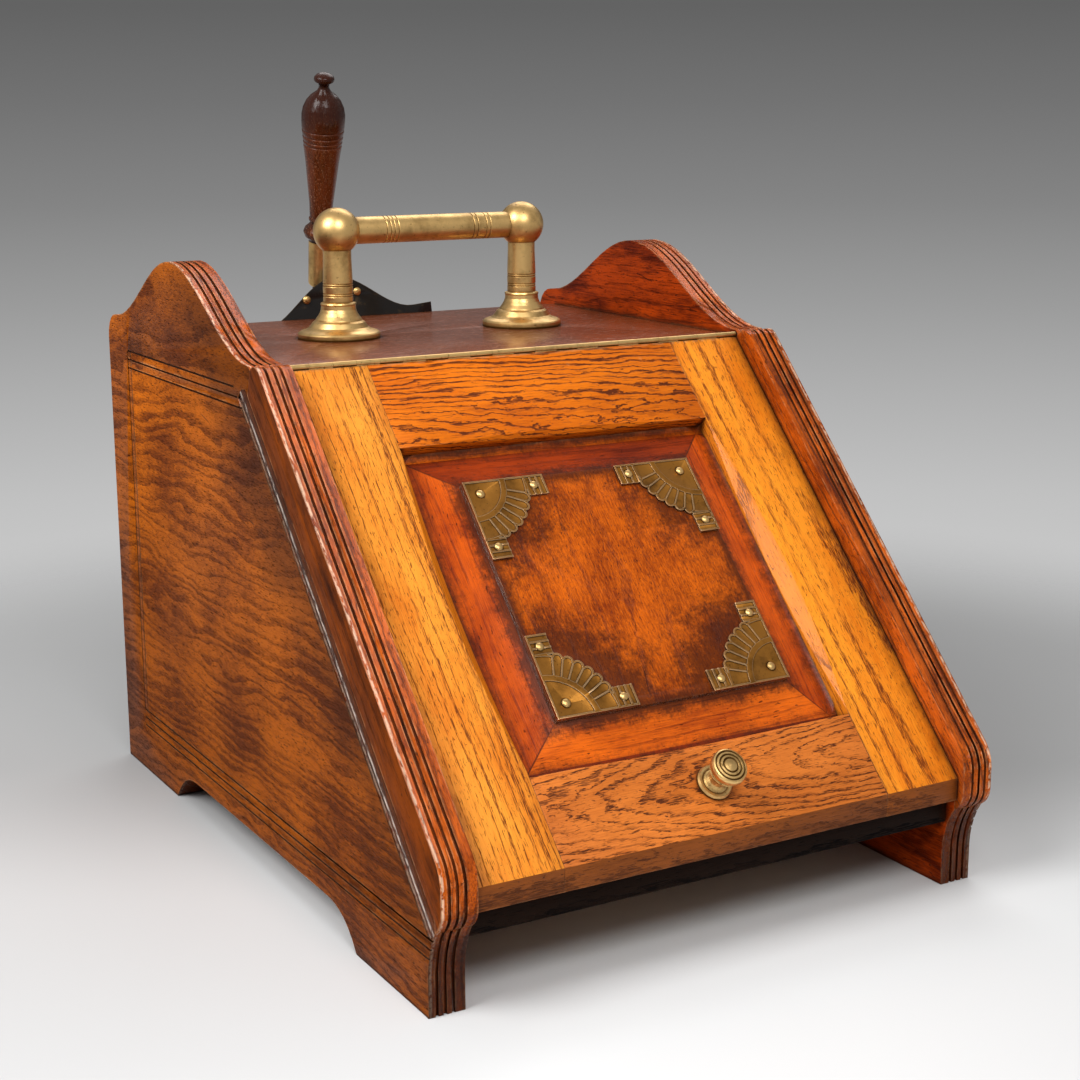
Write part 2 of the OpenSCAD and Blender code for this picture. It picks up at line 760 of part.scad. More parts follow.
module knob() color(brass) placed() on_lid() translate([0, knob_up, 0]) {
    rose_r = knob_r - 0.2;
    rose = [for (p = [[0, 0], [0, 1.2], [0.8, 2.4], [2, 2.5], [3, 2.1]]) [rose_r - p[0], p[1]]];
    neck = [[6, 2.8], [4.8, 4.5], [4.3, 6.5], [4.6, 9]];
    head = [for (p = [[3.6, 10.5], [1.8, 9.4], [1.3, 8.4], [2, 7.2], [0.6, 6], [0, 4.6], [0, 2.8], [0.6, 1.5]])
        [knob_r - p[0], knob_h - p[1]]];
    rings = [for (i = [0 : 2]) let (r = knob_r - 1.9 - i * 2.1, crest = knob_h - 1.1 + i * 0.2)
        each [[r + 0.6, crest], [r, crest - 0.8], [r - 0.6, crest]]];
    rotate_extrude() polygon(concat(
        [[0, -knob_spigot_l], [knob_spigot_r, -knob_spigot_l], [knob_spigot_r, 0]],
        rose, neck, head, rings, [[2.4, knob_h - 0.4], [0, knob_h]]));
}

// Hinge -------------------------------------------------------------------------------------------

module at_pin() translate([0, lid_top_y, hinge_z]) children();
module along_pin(r) at_pin() translate([-case_w / 2, 0, 0]) rotate([0, 90, 0]) cylinder(r = r, h = case_w);
module hinge_cove() along_pin(cove_r);

// The stretches of knuckles that belong to one leaf: every second one, from the given first
module knuckle_row(first, r, trim) {
    for (i = [first : 2 : knuckles - 1])
        at_pin() translate([-hinge_len / 2 + i * knuckle_l + trim, 0, 0])
            rotate([0, 90, 0]) cylinder(r = r, h = knuckle_l - 2 * trim);
}

// Screw places along one leaf; way 1 drives into the top board, way -1 into the lid
module hinge_screw_row(way) {
    for (i = [0 : hinge_screws - 1])
        translate([(i + 0.5 - hinge_screws / 2) * hinge_len / hinge_screws,
            lid_top_y + way * leaf_gap / 2, hinge_screw_z])
            rotate([-90 * way, 0, 0]) children();
}

// A leaf hangs from its knuckles and stays clear of the knuckles of the other one
module hinge_leaf(way, first) {
    inner = leaf_gap / 2;
    difference() {
        union() {
            at_pin() span([-hinge_len / 2, min(way * inner, way * (inner + leaf_t)), -leaf_h],
                [hinge_len / 2, max(way * inner, way * (inner + leaf_t)), 0]);
            knuckle_row(first, knuckle_r, 0);
        }
        knuckle_row(1 - first, cove_r, -slip);
        along_pin(hinge_pin_r + slip);
        hinge_screw_row(way) translate([0, 0, -eps]) cylinder(r1 = 2 * hinge_screw_r + slip,
            r2 = hinge_screw_r + slip, h = leaf_t + 2 * eps);
    }
}
module hinge_leaf_top() color(brass) placed() hinge_leaf(1, 0);
module hinge_leaf_lid() color(brass) placed() hinge_leaf(-1, 1);
module hinge_pin() color(steel) placed() at_pin() translate([-hinge_len / 2, 0, 0])
    rotate([0, 90, 0]) cylinder(r = hinge_pin_r, h = hinge_len);

module countersunk_screw() {
    rotate_extrude() polygon([[0, 0], [2 * hinge_screw_r, 0], [hinge_screw_r, leaf_t],
        [hinge_screw_r, hinge_screw_l - 2], [0, hinge_screw_l]]);
}
module hinge_screws_top() color(brass) placed() hinge_screw_row(1) countersunk_screw();
module hinge_screws_lid() color(brass) placed() hinge_screw_row(-1) countersunk_screw();

// Carry handle ------------------------------------------------------------------------------------

module handle_place(way) translate([way * handle_span / 2, handle_y, top_z]) children();
module handle_places() for (way = [-1, 1]) handle_place(way) children();
module ball_place() translate([0, 0, handle_rise]) children();

function turned_ring(r, at) = [[r, at - ring_half], [r - ring_d, at], [r, at + ring_half]];

module handle_post() {
    neck = 9.4;
    top_r = 8.9;
    spigot_top = handle_rise - ball_r + spigot_l;
    flange = [for (p = [[0.4, 0], [0, 1], [0, 3], [0.7, 3.8], [1.7, 4.4], [5.4, 5.6], [7.4, 6.9]])
        [flange_r - p[0], p[1]]];
    difference() {
        rotate_extrude() polygon(concat(
            [[0, -stud_l], [stud_r, -stud_l], [stud_r, 0]],
            flange, [[17.6, 8.4], [16.6, 9.9], [15.4, 10.7], [14.8, 11], [14.6, 11.8], [13, 13.9],
                [11.8, 15.9], [11.1, 18], [10.9, 20.4], [11.3, 21.2], [11, 22], [neck, 22.6]],
            [for (at = post_pairs) for (way = [-1, 1]) each turned_ring(neck, at + way * ring_pair / 2)],
            [[top_r, handle_rise - ball_r - 2], [top_r, spigot_top - 3],
                [spigot_r - slip, spigot_top - 3], [spigot_r - slip, spigot_top], [0, spigot_top]]));
        difference() {
            ball_place() sphere(r = ball_r + slip);
            cylinder(r = spigot_r - slip, h = handle_rise);
        }
    }
}
module handle_post_left() color(brass) placed() handle_place(-1) handle_post();
module handle_post_right() color(brass) placed() handle_place(1) handle_post();

module handle_ball(way) {
    difference() {
        sphere(r = ball_r);
        translate([0, 0, -ball_r - 1]) cylinder(r = spigot_r, h = spigot_l + 1 + slip);
        rotate([0, -90 * way, 0]) translate([0, 0, ball_r - spigot_l - slip])
            cylinder(r = spigot_r, h = spigot_l + 2);
    }
}
module handle_ball_left() color(brass) placed() handle_place(-1) ball_place() handle_ball(-1);
module handle_ball_right() color(brass) placed() handle_place(1) ball_place() handle_ball(1);

module handle_bar() color(brass) placed() translate([0, handle_y, ball_z]) {
    half = handle_span / 2;
    hollow_r = ball_r + slip;
    // one end: the spigot, then a hollow that seats against the ball
    seat = concat([[0, half - ball_r + spigot_l], [spigot_r - slip, half - ball_r + spigot_l]],
        arc([0, half], hollow_r, asin((spigot_r - slip) / hollow_r) - 90, asin(bar_r / hollow_r) - 90, 5));
    rings = [for (at = bar_pairs) for (way = [-1, 1]) each turned_ring(bar_r, at + way * ring_pair)];
    rotate([0, 90, 0]) rotate_extrude()
        polygon(concat([for (p = seat) [p[0], -p[1]]], rings, reversed(seat)));
}

module handle_nuts() color(steel) placed() handle_places() translate([0, 0, -top_t - washer_t - nut_h])
    difference() {
        union() {
            cylinder(r = nut_r, h = nut_h, $fn = 6);
            translate([0, 0, nut_h - eps]) cylinder(r = nut_r + 2, h = washer_t + eps);
        }
        translate([0, 0, -1]) cylinder(r = stud_r + slip, h = nut_h + washer_t + 2);
    }

// Liner -------------------------------------------------------------------------------------------

// The liner's top edge in side view, lowered by a depth: it follows the lid, then runs level
function liner_edge(drop) = [slope_at_y(liner_front, liner_out - drop),
    slope_at_z(liner_top - drop, liner_out - drop), [liner_back, liner_top - drop]];

module liner() color(japanned) placed() {
    difference() {
        along_x(-liner_x, liner_x)
            polygon(concat([[liner_front, bottom_top]], liner_edge(0), [[liner_back, bottom_top]]));
        span([liner_t - liner_x, liner_front + liner_t, bottom_top + liner_t],
            [liner_x - liner_t, liner_back - liner_t, liner_top + 1]);
    }
    // rim rolled outwards along both side walls and the back wall
    both_sides() along_x(liner_x - eps, liner_x + rim_t)
        polygon(concat(liner_edge(0), reversed(liner_edge(rim_t))));
    span([-liner_x - rim_t, liner_back - eps, liner_top - rim_t],
        [liner_x + rim_t, liner_back + rim_t, liner_top]);
}

// Shovel ------------------------------------------------------------------------------------------

// The pan stands on one corner of its lip, so the lean turns about that corner
module in_shovel() {
    translate([pan_x - pan_half_w, pan_y, ledge_z]) rotate([0, -shovel_lean, 0])
        translate([pan_half_w, 0, 0]) children();
}
module in_handle() in_shovel() translate([handle_axis_x, handle_axis_y, crown_z - seat_drop])
    rotate([handle_rake, handle_cant, 0]) children();

// Heel of the pan: straight shoulders and a crown shaped as half a cosine wave
function heel_line(drop) = [for (i = [-12 : 12]) let (x = crown_reach * i / 12)
    [x, pan_l + crown_rise * (1 + cos(180 * i / 12)) / 2 - drop]];
function pan_outline(half, drop) = concat([[-half, -pan_l], [-half, pan_l - drop]], heel_line(drop),
    [[half, pan_l - drop], [half, -pan_l]]);

// A prism whose top is the heel: its section at y = 0 is the outline, and it falls away to the back
module heel_prism(outline) {
    intersection() {
        rotate([-heel_slope, 0, 0]) translate([0, pan_l, 0]) rotate([90, 0, 0]) linear_extrude(3 * pan_l)
            polygon([for (p = outline) [p[0], p[1] * cos(heel_slope)]]);
        span([-2 * pan_half_w, 0, -1], [2 * pan_half_w, heel_depth + 1, crown_z + 1]);
    }
}

module shovel_pan() color(japanned) placed() {
    difference() {
        union() {
            in_shovel() intersection() {
                heel_prism(pan_outline(pan_half_w, 0));
                span([-pan_half_w, 0, 0], [pan_half_w, heel_depth, crown_z]);
            }
            in_handle() translate([0, 0, -seat_l]) cylinder(r = socket_r - 3, h = seat_l);
        }
        in_shovel() {
            translate([0, pan_t, -pan_t]) heel_prism(pan_outline(pan_half_w - pan_t, 0));
            // the side walls fall away towards the lip
            along_x(-pan_half_w - 1, pan_half_w + 1) polygon([[lip_depth, -1], [lip_depth, 0],
                [heel_depth, pan_l], [heel_depth + 1, pan_l], [heel_depth + 1, -1]]);
            for (way = [-1, 1]) translate([handle_axis_x + way * rivet_x, -1, rivet_z])
                rotate([-90, 0, 0]) cylinder(r = rivet_r + slip, h = pan_t + 2);
        }
        in_handle() translate([0, 0, -tang_l - slip]) cylinder(r = tang_r + slip, h = 2 * tang_l);
    }
}

module shovel_rivets() color(brass) placed() in_shovel() for (way = [-1, 1])
    translate([handle_axis_x + way * rivet_x, 0, rivet_z]) rotate([90, 0, 0])
        round_pin(2 * rivet_r, rivet_r, pan_t + 1);

module shovel_socket() color(brass) placed() in_handle() {
    rotate_extrude() polygon(concat(
        [[0, -tang_l], [tang_r, -tang_l], [tang_r, 0]],
        arc([socket_r - 3, 3], 3, -90, 0, 5),
        [[socket_r + 0.4, socket_l], [0, socket_l]]));
}

module shovel_handle() color(dark_walnut) placed() in_handle() translate([0, 0, socket_l]) {
    // heights are shares of the handle's length, radii shares of its greatest radius
    foot = [[0.54, 0], [0.58, 0.015], [0.74, 0.03], [0.81, 0.057], [0.74, 0.08], [0.57, 0.1], [0.47, 0.115],
        [0.56, 0.126], [0.57, 0.138], [0.52, 0.15], [0.53, 0.16], [0.55, 0.22], [0.675, 0.365], [0.78, 0.484]];
    grooves = [for (at = [0.585, 0.609, 0.638, 0.674]) let (r = 0.3 + at)
        each [[r, at - 0.005], [r - 0.03, at], [r, at + 0.005]]];
    head = [[1, 0.72], [1, 0.76], [0.94, 0.8], [0.8, 0.838], [0.61, 0.868], [0.31, 0.897], [0.24, 0.914],
        [0.25, 0.926], [0.32, 0.938], [0.45, 0.95], [0.47, 0.961], [0.45, 0.975], [0.36, 0.987],
        [0.2, 0.996], [0, 1]];
    rotate_extrude() polygon(concat([[0, 0]],
        [for (p = concat(foot, grooves, head)) [p[0] * grip_r, p[1] * grip_l]]));
}

// Ledge and strap that carry the shovel on the back board ---------------------------------------------

module shovel_ledge() color(pine) placed()
    span([strap_x - strap_half - ledge_over, back_y, ledge_z - ledge_t],
        [strap_x + strap_half + ledge_over, back_y + ledge_depth, ledge_z]);

module shovel_strap() color(brass) placed() translate([strap_x, 0, strap_z]) {
    outer = strap_half + strap_t;
    difference() {
        linear_extrude(strap_h) polygon([
            [-outer - strap_foot, back_y], [-strap_half, back_y], [-strap_half, strap_y],
            [strap_half, strap_y], [strap_half, back_y], [outer + strap_foot, back_y],
            [outer + strap_foot, back_y + strap_t], [outer, back_y + strap_t],
            [outer, strap_y + strap_t], [-outer, strap_y + strap_t],
            [-outer, back_y + strap_t], [-outer - strap_foot, back_y + strap_t]]);
        translate([-strap_x, 0, -strap_z]) strap_screw_places()
            translate([0, 0, -strap_t - 1]) cylinder(r = screw_r + slip, h = strap_t + 2);
    }
}

// Screw places in the strap's feet, each with its axis into the back board
module strap_screw_places() {
    for (way = [-1, 1])
        translate([strap_x + way * (strap_half + strap_t + strap_foot / 2), back_y, strap_z + strap_h / 2])
            rotate([90, 0, 0]) children();
}
module strap_screws() color(brass) placed() strap_screw_places()
    translate([0, 0, -strap_t]) mirror([0, 0, 1]) round_pin(2 * screw_r, screw_r, screw_l);

side_left();
side_right();
slope_moulding_left();
slope_moulding_right();
top_board();
back_board();
bottom_board();
front_rail();
lid_stile_left();
lid_stile_right();
lid_rail_top();
lid_rail_bottom();
lid_panel();
corner_mount_top_left();
corner_mount_top_right();
corner_mount_bottom_left();
corner_mount_bottom_right();
corner_pins();
knob();
hinge_leaf_top();
hinge_leaf_lid();
hinge_pin();
hinge_screws_top();
hinge_screws_lid();
handle_post_left();
handle_post_right();
handle_ball_left();
handle_ball_right();
handle_bar();
handle_nuts();
liner();
shovel_handle();
shovel_socket();
shovel_pan();
shovel_rivets();
shovel_ledge();
shovel_strap();
strap_screws();
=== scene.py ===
# Wooden coal scuttle: the imported frame gets its finish here.
# Lengths are metres, but the patterns, stains and painted shades of the woods are laid out in millimetres.
import json
import math

import bpy
from mathutils import Matrix, Vector

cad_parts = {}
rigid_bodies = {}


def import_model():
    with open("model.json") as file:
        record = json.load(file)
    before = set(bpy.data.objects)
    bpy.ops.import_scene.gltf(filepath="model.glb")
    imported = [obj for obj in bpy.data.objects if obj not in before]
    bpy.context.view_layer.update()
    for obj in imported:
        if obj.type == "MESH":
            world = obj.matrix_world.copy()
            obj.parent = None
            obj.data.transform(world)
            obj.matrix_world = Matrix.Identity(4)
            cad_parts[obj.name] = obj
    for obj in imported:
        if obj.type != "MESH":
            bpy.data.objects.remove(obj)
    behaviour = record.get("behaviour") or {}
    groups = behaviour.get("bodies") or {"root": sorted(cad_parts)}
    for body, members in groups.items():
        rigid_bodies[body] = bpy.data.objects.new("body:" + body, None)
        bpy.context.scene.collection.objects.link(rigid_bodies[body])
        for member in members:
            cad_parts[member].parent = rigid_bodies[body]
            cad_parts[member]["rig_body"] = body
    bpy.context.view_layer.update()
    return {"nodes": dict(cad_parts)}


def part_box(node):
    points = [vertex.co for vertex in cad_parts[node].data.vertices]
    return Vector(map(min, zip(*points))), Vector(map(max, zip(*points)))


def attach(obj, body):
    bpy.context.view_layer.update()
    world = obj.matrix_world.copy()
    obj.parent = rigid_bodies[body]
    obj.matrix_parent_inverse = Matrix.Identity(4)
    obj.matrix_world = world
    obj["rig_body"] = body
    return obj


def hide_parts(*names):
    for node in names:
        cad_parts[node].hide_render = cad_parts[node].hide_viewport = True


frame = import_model()
print("stage: frame loaded,", len(frame["nodes"]), "nodes")

# the lid's slope runs from its lower front edge up to the hinge
lidNose = 0.013  # height of the plumb face under that edge
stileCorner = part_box("lid_stile_left")[0]
pinLow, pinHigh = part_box("hinge_pin")
lidFoot = Vector((0, stileCorner[1], stileCorner[2] + lidNose))
lidHead = Vector((0, (pinLow[1] + pinHigh[1]) / 2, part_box("top_board")[1][2]))
alongX = Vector((1, 0, 0))
alongY = Vector((0, 1, 0))
alongZ = Vector((0, 0, 1))
upSlope = (lidHead - lidFoot).normalized()
outOfSlope = Vector((0, -upSlope.z, upSlope.y))

camera = {
    "place": (-0.56368, -1.02069, 0.44211),
    "azimuth": -29.794,
    "elevation": 12.390,
    "roll": -0.252,
    "sensor": 36,  # mm
    "lens": 64.34,  # mm
    "shift": (0.0033, -0.01475),
    "clip": (0.05, 50),
}


def addCamera():
    data = bpy.data.cameras.new("camera")
    data.sensor_width = camera["sensor"]
    data.lens = camera["lens"]
    data.shift_x, data.shift_y = camera["shift"]
    data.clip_start, data.clip_end = camera["clip"]
    holder = bpy.data.objects.new("camera", data)
    bpy.context.scene.collection.objects.link(holder)
    turn = Matrix.Rotation(math.radians(camera["azimuth"]), 4, "Z")
    tilt = Matrix.Rotation(math.radians(90 - camera["elevation"]), 4, "X")
    roll = Matrix.Rotation(math.radians(camera["roll"]), 4, "Z")
    holder.matrix_world = Matrix.Translation(camera["place"]) @ turn @ tilt @ roll
    bpy.context.scene.camera = holder


lamps = {
    "left": {"place": (-1.38, -0.27, 1.47), "size": (0.9, 0.9), "power": 30},
    "front": {"place": (-0.34, -1.37, 1.47), "size": (0.8, 0.8), "power": 17},
    "back": {"place": (0.7, 1.0, 1.5), "size": (1.2, 1.0), "power": 9},
}
lampTarget = Vector((0, 0, 0.2))


def addLamp(name, values):
    data = bpy.data.lights.new(name, "AREA")
    data.shape = "RECTANGLE"
    data.size, data.size_y = values["size"]
    data.energy = values["power"]
    lamp = bpy.data.objects.new(name, data)
    bpy.context.scene.collection.objects.link(lamp)
    lamp.location = values["place"]
    aim = lampTarget - Vector(values["place"])
    lamp.rotation_euler = aim.to_track_quat("-Z", "Y").to_euler()


class Wire:  # an output socket, on which sums are written as on a number
    def __init__(self, kit, socket):
        self.kit = kit
        self.socket = socket

    def __add__(self, other):
        return self.kit.maths("ADD", self, other)

    def __sub__(self, other):
        return self.kit.maths("SUBTRACT", self, other)

    def __rsub__(self, other):
        return self.kit.maths("SUBTRACT", other, self)

    def __mul__(self, other):
        return self.kit.maths("MULTIPLY", self, other)

    def __truediv__(self, other):
        return self.kit.maths("DIVIDE", self, other)

    def __abs__(self):
        return self.kit.maths("ABSOLUTE", self)

    __radd__ = __add__
    __rmul__ = __mul__


# limits are shares of open air over a place, or of the solid under it
occlusion = {"samples": 8, "hollow": (0.40, 0.97), "edge": (0.40, 0.92)}


class Kit:  # the node tree of one material, or of the world
    def __init__(self, tree):
        self.tree = tree
        tree.nodes.clear()

    def node(self, kind, settings=None, sockets=None, out=0):
        made = self.tree.nodes.new(kind)
        for name, value in (settings or {}).items():
            if name == "stops":
                points = made.color_ramp.elements
                while len(points) < len(value):
                    points.new(1)
                for point, (at, colour) in zip(points, value):
                    point.position = at
                    point.color = colour
            else:
                setattr(made, name, value)
        for name, value in (sockets or {}).items():
            if isinstance(value, Wire):
                self.tree.links.new(value.socket, made.inputs[name])
            else:
                made.inputs[name].default_value = value
        return Wire(self, made.outputs[out]) if made.outputs else None

    def maths(self, operation, *values):
        return self.node("ShaderNodeMath", {"operation": operation}, dict(enumerate(values)))

    def smooth(self, value, low, high):
        return self.node("ShaderNodeMapRange", {"interpolation_type": "SMOOTHSTEP"},
                         {"Value": value, "From Min": low, "From Max": high})

    def dot(self, place, axis):
        return self.node("ShaderNodeVectorMath", {"operation": "DOT_PRODUCT"}, {0: place, 1: axis}, out=1)

    def length(self, place):
        return self.node("ShaderNodeVectorMath", {"operation": "LENGTH"}, {0: place}, out=1)

    def join(self, x, y, z):
        return self.node("ShaderNodeCombineXYZ", None, {0: x, 1: y, 2: z})

    def noise(self, place, scale, detail=4, roughness=0.55):
        return self.node("ShaderNodeTexNoise", None, {
            "Vector": place, "Scale": scale, "Detail": detail, "Roughness": roughness})

    def greys(self, value, stops):
        return self.node("ShaderNodeValToRGB", {"stops": [(at, grey(level)) for at, level in stops]},
                         {"Fac": value})

    def mix(self, factor, a, b):
        return self.node("ShaderNodeMix", {"data_type": "RGBA"}, {0: factor, 6: a, 7: b}, out=2)

    def place(self):
        return self.node("ShaderNodeTexCoord", out=3)

    # the place along some axes, from the lid's foot if one of them follows its slope, or from the origin
    def millimetres(self, axes, shift=(0, 0, 0)):
        place = self.place()
        start = lidFoot if upSlope in axes or outOfSlope in axes else Vector()
        return [self.dot(place, axis * 1000) + (offset - 1000 * start.dot(axis))
                for axis, offset in zip(axes, shift)]

    def hollow(self, reach):  # 0 on a flat face, 1 deep in a corner
        air = self.node("ShaderNodeAmbientOcclusion", {"samples": occlusion["samples"]},
                        {"Distance": reach}, out=1)
        return 1 - self.smooth(air, *occlusion["hollow"])

    def edge(self, reach):  # 0 on a flat face, 1 on a sharp outer edge or on thin sheet
        solid = self.node("ShaderNodeAmbientOcclusion", {"samples": occlusion["samples"], "inside": True},
                          {"Distance": reach}, out=1)
        return 1 - self.smooth(solid, *occlusion["edge"])

    def bump(self, height, depth):
        return self.node("ShaderNodeBump", None, {"Height": height, "Distance": depth, "Strength": 1.0})

    def surface(self, sockets):
        shader = self.node("ShaderNodeBsdfPrincipled", None, sockets)
        self.node("ShaderNodeOutputMaterial", None, {"Surface": shader})


def newKit(name):
    material = bpy.data.materials.new(name)
    material.use_nodes = True
    return material, Kit(material.node_tree)


def rgba(colour):
    return (*colour, 1.0)


def grey(level):
    return (level, level, level, 1.0)


backdrop = {  # greys; heights and shares are parts of a unit direction
    "sky": [(0.0, 0.62), (0.042, 0.60), (0.081, 0.533), (0.119, 0.429), (0.154, 0.328), (0.192, 0.231),
            (0.231, 0.168), (0.265, 0.125), (0.385, 0.09), (0.50, 0.12), (0.75, 0.42), (1.0, 0.55)],
    "skyLimits": (-0.30, 1.0),
    "walls": 0.46,
    "wallLimits": (0.45, 0.80),  # how far to the side of the view's direction the walls turn pale
    "fillLow": 0.16,
    "fillHigh": 0.42,
    "fillLimits": (0.0, 0.8),
    "strength": 1.0,
}
ground = math.radians(camera["azimuth"])
viewAlong = Vector((-math.sin(ground), math.cos(ground), 0))
viewAcross = Vector((math.cos(ground), math.sin(ground), 0))


def addWorld():
    world = bpy.data.worlds.new("studio")
    bpy.context.scene.world = world
    world.use_nodes = True
    kit = Kit(world.node_tree)
    direction = kit.node("ShaderNodeTexCoord", out=0)
    height = kit.dot(direction, alongZ)
    low, high = backdrop["skyLimits"]
    share = kit.node("ShaderNodeMapRange", None, {"Value": height, "From Min": low, "From Max": high})
    sky = kit.greys(share, backdrop["sky"])
    ahead = kit.smooth(kit.dot(direction, viewAlong), *backdrop["wallLimits"])
    sky = kit.mix(ahead, grey(backdrop["walls"]), sky)
    seen = kit.node("ShaderNodeLightPath", out=0) + kit.node("ShaderNodeLightPath", out=3)
    rise = kit.smooth(height, *backdrop["fillLimits"])
    fill = kit.mix(rise, grey(backdrop["fillLow"]), grey(backdrop["fillHigh"]))
    colour = kit.mix(kit.maths("MINIMUM", seen, 1.0), fill, sky)
    light = kit.node("ShaderNodeBackground", None, {"Color": colour, "Strength": backdrop["strength"]})
    kit.node("ShaderNodeOutputWorld", None, {"Surface": light})


paper = {
    "sides": 96, "radius": 1.2, "height": -0.0002,  # just under the feet
    # painted light and shade: the floor is a paler pool across the middle near the front, darker at both
    # sides and darker again beyond the step
    "near": [(0.0, 0.47), (0.35, 0.63), (0.52, 0.74), (0.65, 0.72), (1.0, 0.58)],  # from left to right
    "half": 0.60,  # of the width that these stops span
    "far": 0.38, "step": (-0.16, 0.10),  # along the view's ground direction, from near to far
    "fade": (0.55, 0.95), "roughness": 0.8, "specular": 0.2,
}


def addFloor():
    bpy.ops.mesh.primitive_circle_add(vertices=paper["sides"], radius=paper["radius"], fill_type="NGON")
    floor = bpy.context.object
    floor.name = "floor"
    floor.location.z = paper["height"]
    material, kit = newKit("floorPaper")
    place = kit.place()
    # painted light and shade on the floor: paler across the front middle, darker to the sides and far away
    share = kit.dot(place, viewAcross) / (2 * paper["half"]) + 0.5
    shade = kit.smooth(kit.dot(place, viewAlong), *paper["step"])
    colour = kit.mix(shade, kit.greys(share, paper["near"]), grey(paper["far"]))
    matt = kit.node("ShaderNodeBsdfPrincipled", None, {
        "Base Color": colour, "Roughness": paper["roughness"], "Specular IOR Level": paper["specular"]})
    clear = kit.node("ShaderNodeBsdfTransparent")
    fade = kit.smooth(kit.length(place), *paper["fade"])
    both = kit.node("ShaderNodeMixShader", None, {0: fade, 1: matt, 2: clear})
    kit.node("ShaderNodeOutputMaterial", None, {"Surface": both})
    floor.data.materials.append(material)


# pith is where the tree's heart lies, across and below the face; rise tilts it along the board
# line is where a ring turns dark; lines and loose are the strength of the pores in and between rings
# reach and relief are metres; reach is how far the painted shade and grime in corners and grooves spread
plainWood = {
    "shift": (0, 0, 0), "pitch": 3.2, "pith": (0, 24), "rise": 0.0, "wander": 4, "ripple": 4,
    "line": 0.70, "dash": (8, 0.6), "broken": 0.42, "lines": 1.0, "loose": 0.7, "open": 0.61,
    "spots": 0.66, "band": 0.15, "fibre": (0.05, 1.6), "streak": 1.1, "cloud": (40, 0.45, 1.0),
    "pore": (0.08, 0.018, 0.003), "stainAndShade": (0.030, 0.008, 0.003), "shadeAndGrime": 0.9, "reach": 0.006,
    "worn": (0.70, 0.36, 0.16), "wear": 0.35, "nicks": 0.8,
    "roughness": 0.40, "specular": 0.12, "coat": 0.0, "relief": 0.0003,
}
stileOak = {
    "axes": (upSlope, alongX, outOfSlope), "wander": 5, "ripple": 2.5, "dash": (7, 0.5), "broken": 0.43,
    "loose": 1.0, "open": 0.60, "spots": 0.64,
}
bevelWood = {
    "pitch": 7, "rise": 0.05, "wander": 10, "lines": 0.35, "loose": 0.4, "streak": 1.2,
    "reach": 0.009, "roughness": 0.30, "coat": 0.10,
}

